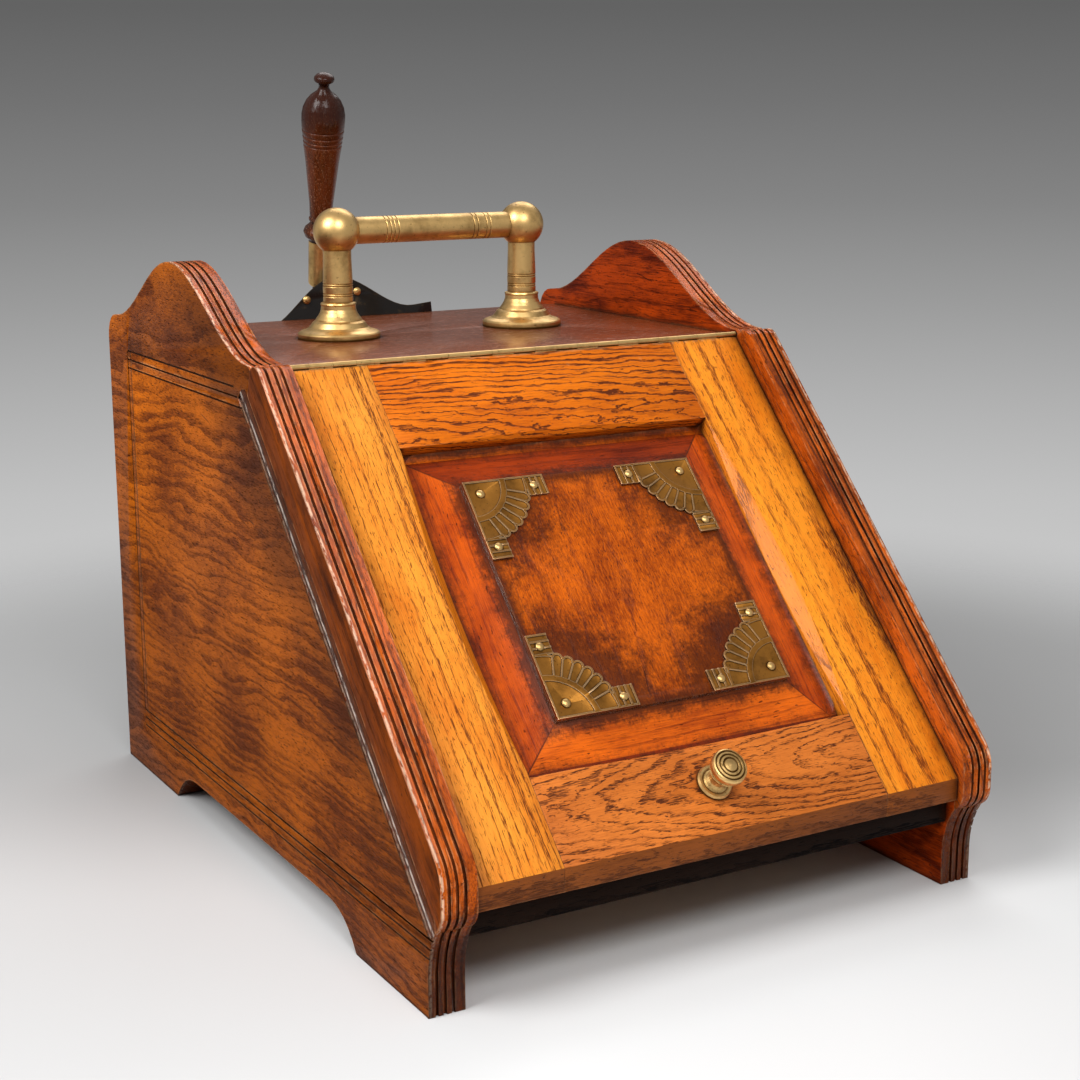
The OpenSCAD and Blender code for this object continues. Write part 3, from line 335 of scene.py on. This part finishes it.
woods = {
    "stileLeftOak": {
        **stileOak, "pitch": 5.2, "pith": (-260, 60), "rise": 0.02, "light": (0.96, 0.345, 0.035),
        "dark": (0.66, 0.150, 0.008), "pore": (0.20, 0.044, 0.006), "streak": 1.3, "cloud": (26, 0.35, 1.8),
    },
    "stileRightOak": {
        **stileOak, "shift": (410, 37, 13), "pitch": 4.6, "pith": (190, 60), "rise": -0.015,
        "light": (0.96, 0.32, 0.020), "dark": (0.68, 0.150, 0.005), "pore": (0.22, 0.046, 0.005),
        "streak": 1.2, "cloud": (26, 0.35, 1.6),
    },
    "railTopOak": {
        "axes": (alongX, upSlope, outOfSlope), "shift": (30, -285, 0), "pitch": 3.0, "pith": (-30, 30),
        "rise": 0.07, "wander": 9, "ripple": 10, "light": (0.82, 0.195, 0.004),
        "dark": (0.46, 0.075, 0.002), "pore": (0.11, 0.020, 0.003), "dash": (14, 0.55), "broken": 0.36,
        "line": 0.56, "streak": 1.3, "cloud": (40, 0.4, 1.4),
    },
    "railBottomOak": {
        "axes": (alongX, upSlope, outOfSlope), "shift": (-40, -22, 0), "pitch": 2.7, "pith": (8, 18),
        "rise": -0.11, "wander": 9, "ripple": 8, "light": (0.72, 0.20, 0.030),
        "dark": (0.38, 0.085, 0.010), "pore": (0.09, 0.020, 0.005), "dash": (6, 0.6), "line": 0.45,
        "streak": 1.3, "cloud": (30, 0.5, 1.3),
    },
    # painted shade: the plumb face's oak is coloured far darker than the upper faces' oak
    "frontOak": {  # the lid's plumb lower face
        "axes": (alongX, alongZ, alongY), "pitch": 2.7, "pith": (40, 20), "wander": 6,
        "light": (0.30, 0.080, 0.012), "dark": (0.10, 0.024, 0.004), "pore": (0.04, 0.010, 0.003),
        "dash": (6, 0.5), "line": 0.5, "lines": 0.6,
    },
    "chamferOak": {
        "axes": (upSlope, alongX, outOfSlope), "shift": (90, 12, 0), "pitch": 4.6, "pith": (190, 60),
        "ripple": 1.5, "light": (0.86, 0.26, 0.010), "dark": (0.56, 0.13, 0.004),
        "pore": (0.30, 0.08, 0.01), "roughness": 0.42, "specular": 0.08, "coat": 0.12, "shadeAndGrime": 0.4,
    },
    "sideWalnut": {
        "axes": (alongY, alongZ, alongX), "pitch": 7, "pith": (330, 90), "rise": 0.05,
        "wander": 26, "ripple": 3.5, "light": (0.60, 0.140, 0.006), "dark": (0.155, 0.030, 0.003),
        "pore": (0.022, 0.005, 0.002), "dash": (5, 0.6), "line": 0.30, "lines": 0.30, "loose": 0.9,
        "spots": 0.62, "band": 0.34, "fibre": (0.22, 1.3), "streak": 1.8, "cloud": (55, 0.6, 2.2),
        "reach": 0.003, "shadeAndGrime": 2.4, "wear": 0.5, "roughness": 0.42, "specular": 0.03,
    },
    "hornWood": {  # the panels' inner faces, redder and more polished
        "axes": (alongY, alongZ, alongX), "pitch": 6, "pith": (90, 40), "rise": 0.06, "wander": 12,
        "light": (0.44, 0.050, 0.002), "dark": (0.08, 0.007, 0.001), "pore": (0.05, 0.006, 0.001),
        "streak": 1.8, "cloud": (30, 0.4, 3.4), "lines": 0.5, "specular": 0.05, "roughness": 0.36,
    },
    "edgeWood": {
        "axes": (upSlope, alongX, outOfSlope), "pitch": 6, "pith": (90, 30), "rise": 0.03, "wander": 6,
        "light": (0.58, 0.105, 0.006), "dark": (0.15, 0.020, 0.002), "stainAndShade": (0.014, 0.006, 0.004),
        "worn": (0.92, 0.44, 0.18), "wear": 0.40, "reach": 0.003, "roughness": 0.24, "specular": 0.05,
        "coat": 0.14, "lines": 0.6, "fibre": (0.11, 1.1), "streak": 1.8, "cloud": (20, 0.5, 2.0),
        # the crest is a pale line along the moulding's outer edge: wear, and a painted highlight
        "relief": 0.0010, "crest": (173.9, 1.3), "rubbed": (0.86, 0.55, 0.36),
    },
    "mouldingSide": {
        "axes": (upSlope, outOfSlope, alongX), "pitch": 6, "pith": (90, 30), "wander": 6,
        "light": (0.21, 0.042, 0.004), "dark": (0.045, 0.009, 0.002), "pore": (0.010, 0.003, 0.001),
        "roughness": 0.5, "specular": 0.03, "worn": (0.62, 0.30, 0.14), "wear": 0.6, "lines": 0.4,
        "cloud": (14, 0.4, 2.0),
    },
    "beadWood": {
        "axes": (upSlope, outOfSlope, alongX), "pitch": 6, "pith": (90, 30), "wander": 6,
        "light": (0.14, 0.034, 0.007), "dark": (0.030, 0.007, 0.002), "pore": (0.010, 0.003, 0.001),
        "roughness": 0.24, "specular": 0.10, "wear": 0.5, "lines": 0.4, "relief": 0.0012,
        # the crest is a pale line along the bead: wear, and a painted highlight
        "crest": (18.2, 1.5), "rubbed": (0.84, 0.70, 0.60), "cloud": (14, 0.4, 2.0),
    },
    "bevelSideWood": {
        **bevelWood, "axes": (upSlope, alongX, outOfSlope), "shift": (70, 0, 0), "pith": (140, 30),
        "rise": 0.03, "light": (0.70, 0.105, 0.003), "dark": (0.24, 0.020, 0.001),
        "pore": (0.07, 0.008, 0.001), "cloud": (26, 0.7, 1.7),
    },
    # lit and shaded copies of the bevel wood: the upper bevel is darker with painted shade under the top
    # rail, the lower bevel lighter with painted light
    "bevelTopWood": {
        **bevelWood, "axes": (alongX, upSlope, outOfSlope), "shift": (20, 55, 0), "pith": (-90, 30),
        "light": (0.34, 0.036, 0.001), "dark": (0.11, 0.009, 0.001), "pore": (0.04, 0.005, 0.001),
        "cloud": (26, 0.5, 1.5),
    },
    "bevelBottomWood": {
        **bevelWood, "axes": (alongX, upSlope, outOfSlope), "shift": (50, 15, 0), "pith": (-90, 30),
        "light": (0.84, 0.150, 0.004), "dark": (0.26, 0.026, 0.001), "pore": (0.07, 0.008, 0.001),
        "cloud": (26, 0.5, 1.7),
    },
    "fieldWood": {
        "axes": (upSlope, alongX, outOfSlope), "pitch": 12, "pith": (60, 60), "rise": 0.1, "wander": 30,
        "ripple": 5, "light": (0.66, 0.122, 0.003), "dark": (0.18, 0.021, 0.001),
        "pore": (0.07, 0.010, 0.002), "lines": 0.35, "loose": 0.9, "dash": (3, 0.6),
        "fibre": (0.16, 0.9), "streak": 2.1, "cloud": (30, 0.6, 1.7), "stainAndShade": (0.046, 0.008, 0.002),
        "roughness": 0.34,
    },
    "stepWood": {  # the plumb step round the field
        "axes": (upSlope, outOfSlope, alongX), "light": (0.10, 0.030, 0.010),
        "dark": (0.03, 0.009, 0.003), "roughness": 0.20, "specular": 0.5, "coat": 1.0, "shadeAndGrime": 0.3,
        "wear": 0.3,
    },
    "topWood": {
        "axes": (alongX, alongY, alongZ), "pitch": 9, "pith": (40, 40), "rise": 0.05, "wander": 10,
        "light": (0.25, 0.060, 0.016), "dark": (0.12, 0.024, 0.006), "pore": (0.36, 0.15, 0.08),
        "lines": 0.15, "loose": 0.5, "roughness": 0.22, "specular": 0.42, "coat": 0.15,
    },
    "innerWood": {
        "axes": (alongX, alongZ, alongY), "pitch": 8, "pith": (100, 60), "rise": 0.05, "wander": 8,
        "light": (0.36, 0.20, 0.09), "dark": (0.24, 0.12, 0.05), "pore": (0.10, 0.05, 0.02),
        "roughness": 0.7,
    },
    # near black, partly the front rail's own dark finish and partly painted shade under the lid's front
    "blackWood": {
        "axes": (alongX, alongZ, alongY), "light": (0.014, 0.006, 0.003), "dark": (0.006, 0.003, 0.002),
        "pore": (0.003, 0.002, 0.002), "worn": (0.05, 0.03, 0.02), "roughness": 0.6, "specular": 0.05,
    },
    "handleWood": {
        "axes": (alongZ, alongX, alongY), "pitch": 5, "pith": (30, 30), "rise": 0.05,
        "light": (0.15, 0.032, 0.007), "dark": (0.010, 0.003, 0.001), "pore": (0.46, 0.20, 0.10),
        "dash": (2.5, 0.5), "lines": 0.2, "loose": 0.8, "streak": 2.0, "cloud": (40, 0.4, 2.2),
        "roughness": 0.20, "specular": 0.10, "coat": 0.20, "stainAndShade": (0.014, 0.003, 0.002),
        "reach": 0.002, "wear": 0.2, "nicks": 0.0,
    },
}

# the limits of these stains and painted shades are millimetres, their ragged values say how far an edge
# strays, their shares how dark it is
field = {
    "middle": 154.6, "half": 75.4,  # up the lid's slope
    "coarse": {"scale": 0.075, "detail": 10, "roughness": 0.8}, "coarseReach": 2,
    "fine": {"scale": 0.6, "detail": 6, "roughness": 0.75}, "fineReach": 0.9, "fineStretch": 0.6,
    "burnt": (40, 80), "burntRagged": 60, "burntBelow": 0.16, "burntShare": 0.82,
    "border": (1, 10), "borderRagged": 10, "borderShare": 0.85,
    "seam": (0.2, 1.0), "seamShare": 0.75,
    "dirt": (17, 30), "dirtRagged": 14, "dirtShare": 0.85, "stepShadeAndDirtShare": 0.8,
}


def fromField(kit):  # how far inside the raised field's sides and ends a place is, and how high up it
    across, up = kit.millimetres((alongX, upSlope))
    coarse = kit.noise(kit.join(across, up, 0.0), **field["coarse"]) - 0.5
    fine = kit.noise(kit.join(across, up * field["fineStretch"], 0.0), **field["fine"]) - 0.5
    ragged = coarse * field["coarseReach"] + fine * field["fineReach"]
    raised = up - field["middle"]
    return field["half"] - abs(across), field["half"] - abs(raised), ragged, raised


def burntField(kit):  # grime round the corner mounts and along the field's edges
    fromSide, fromEnd, ragged, raised = fromField(kit)
    corner = kit.length(kit.join(fromSide, fromEnd, 0.0))
    corner = corner + ragged * field["burntRagged"] + raised * field["burntBelow"]
    border = kit.maths("MINIMUM", fromSide, fromEnd) + ragged * field["borderRagged"]
    dark = 1 - kit.smooth(corner, *field["burnt"])
    rim = 1 - kit.smooth(border, *field["border"])
    return kit.maths("MAXIMUM", dark * field["burntShare"], rim * field["borderShare"])


def bevelDirtAndShade(kit):  # the open mitre, dirt towards the lid's frame, and painted shade with dirt beside the field's step
    fromSide, fromEnd, ragged = fromField(kit)[:3]
    seam = 1 - kit.smooth(abs(fromSide - fromEnd), *field["seam"])
    outwards = abs(kit.maths("MINIMUM", fromSide, fromEnd)) + ragged * field["dirtRagged"]
    far, near = kit.smooth(outwards, *field["dirt"]), 1 - kit.smooth(outwards, *field["border"])
    dirt = kit.maths("MAXIMUM", far * field["dirtShare"], near * field["stepShadeAndDirtShare"])
    return kit.maths("MAXIMUM", seam * field["seamShare"], dirt)


sideDirt = {  # measured from the lid's foot
    "cloud": {"scale": 0.035, "detail": 6, "roughness": 0.65}, "stretch": 0.5,
    "beside": (-105, -25), "besideRagged": 120, "besideShare": 0.68, "besideEnd": (255, 290),
    "below": (-70, 250), "belowRagged": 180, "belowShare": 0.5,
}


def sideStain(kit):  # dark beside the sloping moulding and towards the feet
    deep, high, out = kit.millimetres((alongY, alongZ, outOfSlope))
    ragged = kit.noise(kit.join(deep * sideDirt["stretch"], high, 0.0), **sideDirt["cloud"]) - 0.5
    beside = kit.smooth(out + ragged * sideDirt["besideRagged"], *sideDirt["beside"])
    beside = beside * (1 - kit.smooth(high, *sideDirt["besideEnd"]))
    below = 1 - kit.smooth(high + ragged * sideDirt["belowRagged"], *sideDirt["below"])
    return kit.maths("MAXIMUM", beside * sideDirt["besideShare"], below * sideDirt["belowShare"])


stileDirt = {
    "cloud": {"scale": 0.10, "detail": 6, "roughness": 0.7}, "stretch": 0.4,
    "outer": (142, 158), "outerRagged": 22, "outerShare": 0.7,
    "inner": (100, 112), "innerRagged": 16, "innerShare": 0.25,
}


def stileStain(kit):  # brown beside the sloping mouldings, fainter beside the panel
    across, up = kit.millimetres((alongX, upSlope))
    ragged = kit.noise(kit.join(across, up * stileDirt["stretch"], 0.0), **stileDirt["cloud"]) - 0.5
    inner = 1 - kit.smooth(abs(across) + ragged * stileDirt["innerRagged"], *stileDirt["inner"])
    outer = kit.smooth(abs(across) + ragged * stileDirt["outerRagged"], *stileDirt["outer"])
    return kit.maths("MAXIMUM", outer * stileDirt["outerShare"], inner * stileDirt["innerShare"])


# painted shade: the moulding's wood at the feet turns dark below a ragged height
footShade = {"cloud": {"scale": 0.08, "detail": 4}, "ragged": 20, "height": (45, 75), "share": 0.8}


def footPaintedShade(kit):
    deep, high, out = kit.millimetres((alongY, alongZ, alongX))
    ragged = kit.noise(kit.join(deep, high, out), **footShade["cloud"]) * footShade["ragged"]
    return (1 - kit.smooth(high + ragged, *footShade["height"])) * footShade["share"]


# painted shade on the handle's upper part
handleShade = {  # this cloud's scale is per metre
    "cloud": {"scale": 60, "detail": 4}, "ragged": 20, "height": (416, 446), "share": 0.85,
}


def handlePaintedShade(kit):  # painted shade: the shovel's handle is nearly black above its rings
    high = kit.millimetres((alongZ,))[0]
    ragged = kit.noise(kit.place(), **handleShade["cloud"]) * handleShade["ragged"]
    return kit.smooth(high + ragged, *handleShade["height"]) * handleShade["share"]


figure = {  # what all woods share; full and end are shares of a ring's width, and edgeReach is metres
    "stretch": 0.35,  # the figure changes more slowly along the grain
    "drift": {"scale": 0.020, "detail": 3},
    "ripple": {"scale": 0.11, "detail": 4, "roughness": 0.65},
    "uneven": {"scale": 0.9, "detail": 2}, "unevenReach": 1.6,
    "full": 0.94, "end": (0.95, 1.0),
    "faint": {"scale": 0.035, "detail": 2}, "faintLimits": (0.30, 0.62), "faintest": 0.3,
    "dash": {"scale": 1.0, "detail": 2}, "inRing": (0.05, 0.6), "brokenBy": 0.14, "openBy": 0.08,
    "fibres": {"scale": 1.0, "detail": 6, "roughness": 0.75}, "middleTone": 0.42,
    "cloud": {"detail": 6, "roughness": 0.62},
    "askew": {"scale": 0.05, "detail": 1}, "askewBy": 14,
    "nick": {"scale": 0.8, "detail": 1}, "nickStretch": (0.22, 0.9), "nickLimits": (0.70, 0.75),
    "spot": {"scale": 0.42, "detail": 3, "roughness": 0.7}, "spotStretch": 1.5, "spotBy": 0.06,
    "edge": {"scale": 0.30, "detail": 4}, "edgeReach": 0.0016, "edgeLimits": (0.40, 0.60),
    # the crest lines are painted highlights as well as wear
    "crest": {"scale": 0.5, "detail": 5}, "crestFrom": 0.2, "crestLimits": (0.40, 0.56),
    "crestShare": 0.8,
    "fibreHeight": 0.3, "poreDepth": 0.7, "markDepth": 0.8,
    "fibreRoughness": 0.2, "poreRoughness": 0.25, "coatRoughness": 0.14,
}


def ringLines(kit, look, u, v, w, slow):  # each ring darkens slowly and ends at once
    drift = kit.noise(slow, **figure["drift"]) - 0.5
    ripple = kit.noise(slow, **figure["ripple"]) - 0.5
    acrossPith = v - look["pith"][0] + drift * (look["wander"] * 2)
    belowPith = w + look["pith"][1] + u * look["rise"] + ripple * look["ripple"]
    radius = kit.length(kit.join(acrossPith, belowPith, 0.0)) / look["pitch"]
    uneven = kit.noise(kit.join(radius, 0.0, 0.0), **figure["uneven"]) * figure["unevenReach"]
    share = kit.maths("FRACT", radius + uneven)
    ring = kit.smooth(share, look["line"], figure["full"]) * (1 - kit.smooth(share, *figure["end"]))
    faint = kit.smooth(kit.noise(slow, **figure["faint"]), *figure["faintLimits"])
    return ring * (faint * (1 - figure["faintest"]) + figure["faintest"])


def openPores(kit, look, u, v, w, ring):  # short dashes along the grain, most of them in the rings
    along, across = look["dash"]
    dash = kit.noise(kit.join(u / along, v / across, w / across), **figure["dash"])
    unbroken = kit.smooth(dash, look["broken"], look["broken"] + figure["brokenBy"])
    inRing = kit.smooth(ring, *figure["inRing"]) * unbroken * look["lines"]
    loose = kit.smooth(dash, look["open"], look["open"] + figure["openBy"]) * look["loose"]
    return kit.maths("MAXIMUM", inRing, loose)


def knocks(kit, look, u, v, w, slow):  # nicks are short and lie askew, spots are round
    askew = kit.noise(slow, **figure["askew"]) * figure["askewBy"]
    along, across = figure["nickStretch"]
    nick = kit.noise(kit.join(u * along + askew, v * across + askew, w), **figure["nick"])
    spot = kit.noise(kit.join(u, v * figure["spotStretch"], w), **figure["spot"])
    spot = kit.smooth(spot, look["spots"], look["spots"] + figure["spotBy"])
    return kit.maths("MAXIMUM", spot, kit.smooth(nick, *figure["nickLimits"])) * look["nicks"]


def makeWood(name, extraStainAndShade=None):
    look = {**plainWood, **woods[name]}
    material, kit = newKit(name)
    u, v, w = kit.millimetres(look["axes"], look["shift"])
    slow = kit.join(u * figure["stretch"], v, w)
    ring = ringLines(kit, look, u, v, w, slow)
    pores = openPores(kit, look, u, v, w, ring)
    marks = knocks(kit, look, u, v, w, slow)
    along, across = look["fibre"]
    fibres = kit.noise(kit.join(u * along, v * across, w * across), **figure["fibres"]) - 0.5
    size, along, cloudShare = look["cloud"]
    cloud = kit.noise(kit.join(u * along, v, w), 1 / size, **figure["cloud"]) - 0.5
    tone = figure["middleTone"] + fibres * look["streak"] + cloud * cloudShare + ring * look["band"]
    colour = kit.mix(kit.smooth(tone, 0.0, 1.0), rgba(look["light"]), rgba(look["dark"]))
    colour = kit.mix(pores, colour, rgba(look["pore"]))
    colour = kit.mix(marks, colour, rgba(look["pore"]))
    patchy = kit.smooth(kit.noise(slow, **figure["edge"]), *figure["edgeLimits"])
    edge = kit.edge(figure["edgeReach"]) * patchy
    colour = kit.mix(edge * look["wear"], colour, rgba(look["worn"]))
    if "crest" in look:  # rubbed pale along a line: wear, and a painted highlight along the crest
        middle, width = look["crest"]
        onGlintLine = 1 - kit.smooth(abs(abs(v) - middle), figure["crestFrom"], width)
        rubbed = onGlintLine * kit.smooth(kit.noise(slow, **figure["crest"]), *figure["crestLimits"])
        colour = kit.mix(rubbed * figure["crestShare"], colour, rgba(look["rubbed"]))
    # painted shade and grime: the wood turns darker in corners, grooves and between parts, as far as reach
    shadeAndGrime = kit.hollow(look["reach"]) * look["shadeAndGrime"]
    if extraStainAndShade:
        shadeAndGrime = kit.maths("MAXIMUM", shadeAndGrime, extraStainAndShade(kit))
    colour = kit.mix(shadeAndGrime, colour, rgba(look["stainAndShade"]))
    height = fibres * figure["fibreHeight"] - pores * figure["poreDepth"] - marks * figure["markDepth"]
    rough = fibres * figure["fibreRoughness"] + pores * figure["poreRoughness"]
    kit.surface({
        "Base Color": colour, "Roughness": rough + look["roughness"],
        "Specular IOR Level": look["specular"], "Coat Weight": look["coat"],
        "Coat Roughness": figure["coatRoughness"], "Normal": kit.bump(height, look["relief"])})
    return material


metals = {
    "brass": {
        "bright": (0.76, 0.49, 0.19), "dull": (0.15, 0.075, 0.018), "roughness": 0.38, "edge": 0.0,
        "reach": 0.004, "shadeAndGrime": 1.8, "tarnish": 0.6,
    },
    "mountBrass": {
        "bright": (0.45, 0.190, 0.033), "dull": (0.030, 0.010, 0.002), "roughness": 0.36, "edge": 0.9,
        "reach": 0.0014, "shadeAndGrime": 3.0, "tarnish": 0.6,
    },
    "steel": {
        "bright": (0.45, 0.44, 0.43), "dull": (0.22, 0.20, 0.18), "roughness": 0.4, "edge": 0.3,
        "reach": 0.004, "shadeAndGrime": 0.9, "tarnish": 0.45,
    },
}
patina = {  # what all three share
    "cloud": {"scale": 70, "detail": 6, "roughness": 0.65}, "cloudLimits": (0.42, 0.75),
    "fine": {"scale": 1200, "detail": 3},
    "pits": {"scale": 420, "detail": 2}, "pitLimits": (0.66, 0.72), "pitShare": 0.5,
    "edgeReach": 0.0008, "kept": 0.35, "rubbed": (0.75, 0.60, 0.39),
    "cloudRoughness": 0.3, "fineRoughness": 0.15, "dirtRoughness": 0.3, "depth": 0.00003,
}


def makeMetal(name):
    look = metals[name]
    material, kit = newKit(name)
    place = kit.place()
    cloud = kit.noise(place, **patina["cloud"])
    fine = kit.noise(place, **patina["fine"])
    pits = kit.smooth(kit.noise(place, **patina["pits"]), *patina["pitLimits"])
    dirt = kit.maths("MINIMUM", kit.hollow(look["reach"]) * look["shadeAndGrime"], 1.0)
    tarnish = kit.smooth(cloud, *patina["cloudLimits"]) * look["tarnish"] + dirt + pits * patina["pitShare"]
    colour = kit.mix(kit.maths("MINIMUM", tarnish, 1.0), rgba(look["bright"]), rgba(look["dull"]))
    rubbed = [bright * patina["kept"] + tint for bright, tint in zip(look["bright"], patina["rubbed"])]
    colour = kit.mix(kit.edge(patina["edgeReach"]) * look["edge"], colour, rgba(rubbed))
    rough = (cloud - 0.5) * patina["cloudRoughness"] + (fine - 0.5) * patina["fineRoughness"]
    kit.surface({
        "Base Color": colour, "Metallic": 1.0,
        "Roughness": rough + look["roughness"] + dirt * patina["dirtRoughness"],
        "Normal": kit.bump(fine - pits, patina["depth"])})
    return material


iron = {
    "black": (0.010, 0.008, 0.007), "worn": (0.24, 0.15, 0.06), "cloud": {"scale": 60, "detail": 5},
    "patches": {"scale": 110, "detail": 6, "roughness": 0.75}, "patchLimits": (0.56, 0.76),
    "patchShare": 0.25, "edgeReach": 0.0005, "edgeShare": 0.30, "metallic": 0.8, "roughness": 0.14,
    "cloudRoughness": 0.2, "specular": 0.25, "coat": 0.06, "coatRoughness": 0.1, "depth": 0.0004,
}


def makeIron():
    material, kit = newKit("blackIron")
    place = kit.place()
    cloud = kit.noise(place, **iron["cloud"])
    patches = kit.smooth(kit.noise(place, **iron["patches"]), *iron["patchLimits"])
    edge = kit.edge(iron["edgeReach"]) * iron["edgeShare"]
    worn = kit.maths("MAXIMUM", patches * iron["patchShare"], edge)
    kit.surface({
        "Base Color": kit.mix(worn, rgba(iron["black"]), rgba(iron["worn"])),
        "Metallic": worn * iron["metallic"],
        "Roughness": iron["roughness"] + cloud * iron["cloudRoughness"],
        "Specular IOR Level": iron["specular"], "Coat Weight": iron["coat"],
        "Coat Roughness": iron["coatRoughness"], "Normal": kit.bump(cloud, iron["depth"])})
    return material


def deselect():
    bpy.ops.object.select_all(action="DESELECT")


faces = {  # parts of a unit normal, and metres
    "panelSide": 0.6, "beadTop": -0.0246, "mouldingSide": 0.9, "mouldingOut": 0.174,
    "plumb": -0.9, "chamfer": (0.4, 0.9), "bevel": 0.5, "fieldTop": -0.0031,
}

# each chooser gives a face's place in its piece's list of finishes


def sideFace(normal, centre):  # outer face, inner face, edges, bead beside the moulding
    if abs(normal.x) < faces["panelSide"]:
        return 2
    if normal.x * centre.x < 0:
        return 1
    onBead = (centre - lidFoot).dot(outOfSlope) > faces["beadTop"] and centre.y < lidHead.y
    return 3 if onBead else 0


def mouldingFace(normal, centre):  # reeded face, outer side
    outwards = abs(normal.x) > faces["mouldingSide"] and normal.x * centre.x > 0
    return 1 if outwards and abs(centre.x) > faces["mouldingOut"] else 0


def lidFace(normal, centre):  # upper face, plumb front, chamfer
    if normal.y < faces["plumb"]:
        return 1
    least, most = faces["chamfer"]
    return 2 if least < abs(normal.x) < most and normal.dot(outOfSlope) > least else 0


def panelFace(normal, centre):  # raised field, side bevels, upper bevel, lower bevel, step
    if normal.dot(outOfSlope) < faces["bevel"]:
        return 4
    if (centre - lidFoot).dot(outOfSlope) > faces["fieldTop"]:
        return 0
    if abs(normal.x) > abs(normal.dot(upSlope)):
        return 1
    return 2 if normal.dot(upSlope) > 0 else 3


def noFace(normal, centre):
    return 0


shaping = {"merge": 0.000005, "flat": 0.5, "segments": 2, "corner": 30, "smooth": 35}  # metres, degrees


def finishedCopy(node, finishes, slotName, rounding, chooser=noFace):
    source = frame["nodes"][node]
    deselect()
    copy = bpy.data.objects.new(node + "_finished", source.data.copy())
    bpy.context.scene.collection.objects.link(copy)
    copy.select_set(True)
    bpy.context.view_layer.objects.active = copy
    bpy.ops.object.mode_set(mode="EDIT")
    bpy.ops.mesh.select_all(action="SELECT")
    bpy.ops.mesh.remove_doubles(threshold=shaping["merge"])
    bpy.ops.mesh.dissolve_limited(angle_limit=math.radians(shaping["flat"]))
    bpy.ops.object.mode_set(mode="OBJECT")
    edges = copy.modifiers.new("rounded edges", "BEVEL")
    edges.width = rounding
    edges.segments = shaping["segments"]
    edges.limit_method = "ANGLE"
    edges.angle_limit = math.radians(shaping["corner"])
    bpy.ops.object.modifier_apply(modifier="rounded edges")
    bpy.ops.object.shade_smooth_by_angle(angle=math.radians(shaping["smooth"]))
    copy.data.materials.clear()
    for name in finishes:
        copy.data.materials.append(finish[name])
    for face in copy.data.polygons:
        face.material_index = chooser(face.normal, face.center)
    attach(copy, source["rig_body"])
    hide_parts(node)


addCamera()
for lampName, lampValues in lamps.items():
    addLamp(lampName, lampValues)
addWorld()
deselect()
addFloor()
print("stage: camera, lamps and backdrop")

# the extra stains of some woods, among them painted shade on the handle, the feet and beside the field
stainsAndShades = {
    "fieldWood": burntField, "bevelSideWood": bevelDirtAndShade, "bevelTopWood": bevelDirtAndShade,
    "bevelBottomWood": bevelDirtAndShade, "sideWalnut": sideStain, "edgeWood": footPaintedShade,
    "stileLeftOak": stileStain, "stileRightOak": stileStain, "handleWood": handlePaintedShade,
}
finish = {name: makeWood(name, stainsAndShades.get(name)) for name in woods}
finish.update({name: makeMetal(name) for name in metals})
finish["blackIron"] = makeIron()
print("stage: materials")

side = ["sideWalnut", "hornWood", "edgeWood", "beadWood"]
moulding = ["edgeWood", "mouldingSide"]
panel = ["fieldWood", "bevelSideWood", "bevelTopWood", "bevelBottomWood", "stepWood"]
coats = {
    "side_left": (side, "side_wood", 0.0007, sideFace),
    "side_right": (side, "side_wood", 0.0007, sideFace),
    "slope_moulding_left": (moulding, "edge_wood", 0.0005, mouldingFace),
    "slope_moulding_right": (moulding, "edge_wood", 0.0005, mouldingFace),
    "top_board": (["topWood"], "top_wood", 0.0005),
    "back_board": (["innerWood"], "inner_wood", 0.0004),
    "bottom_board": (["innerWood"], "inner_wood", 0.0004),
    "shovel_ledge": (["innerWood"], "inner_wood", 0.0008),
    "front_rail": (["blackWood"], "black_wood", 0.0008),
    "lid_stile_left": (["stileLeftOak", "frontOak", "chamferOak"], "frame_wood", 0.0004, lidFace),
    "lid_stile_right": (["stileRightOak", "frontOak", "chamferOak"], "frame_wood", 0.0004, lidFace),
    "lid_rail_top": (["railTopOak"], "rail_wood", 0.0004),
    "lid_rail_bottom": (["railBottomOak", "frontOak", "chamferOak"], "rail_wood", 0.0004, lidFace),
    "lid_panel": (panel, "field_wood", 0.0004, panelFace),
    "shovel_handle": (["handleWood"], "handle_wood", 0.0003),
    "shovel_pan": (["blackIron"], "black_iron", 0.0004),
    "liner": (["blackIron"], "black_iron", 0.0004),
}
for corner in ("top_left", "top_right", "bottom_left", "bottom_right"):
    coats["corner_mount_" + corner] = (["mountBrass"], "old_brass", 0.0001)
for node, values in coats.items():
    finishedCopy(node, *values)
print("stage: wood and iron")

steelNodes = ("hinge_pin", "handle_nuts")
for node, carried in frame["nodes"].items():
    if node not in coats:
        carried.data.materials.clear()
        carried.data.materials.append(finish["steel" if node in steelNodes else "brass"])
print("stage: metal")

bpy.context.scene.view_settings.view_transform = "Standard"
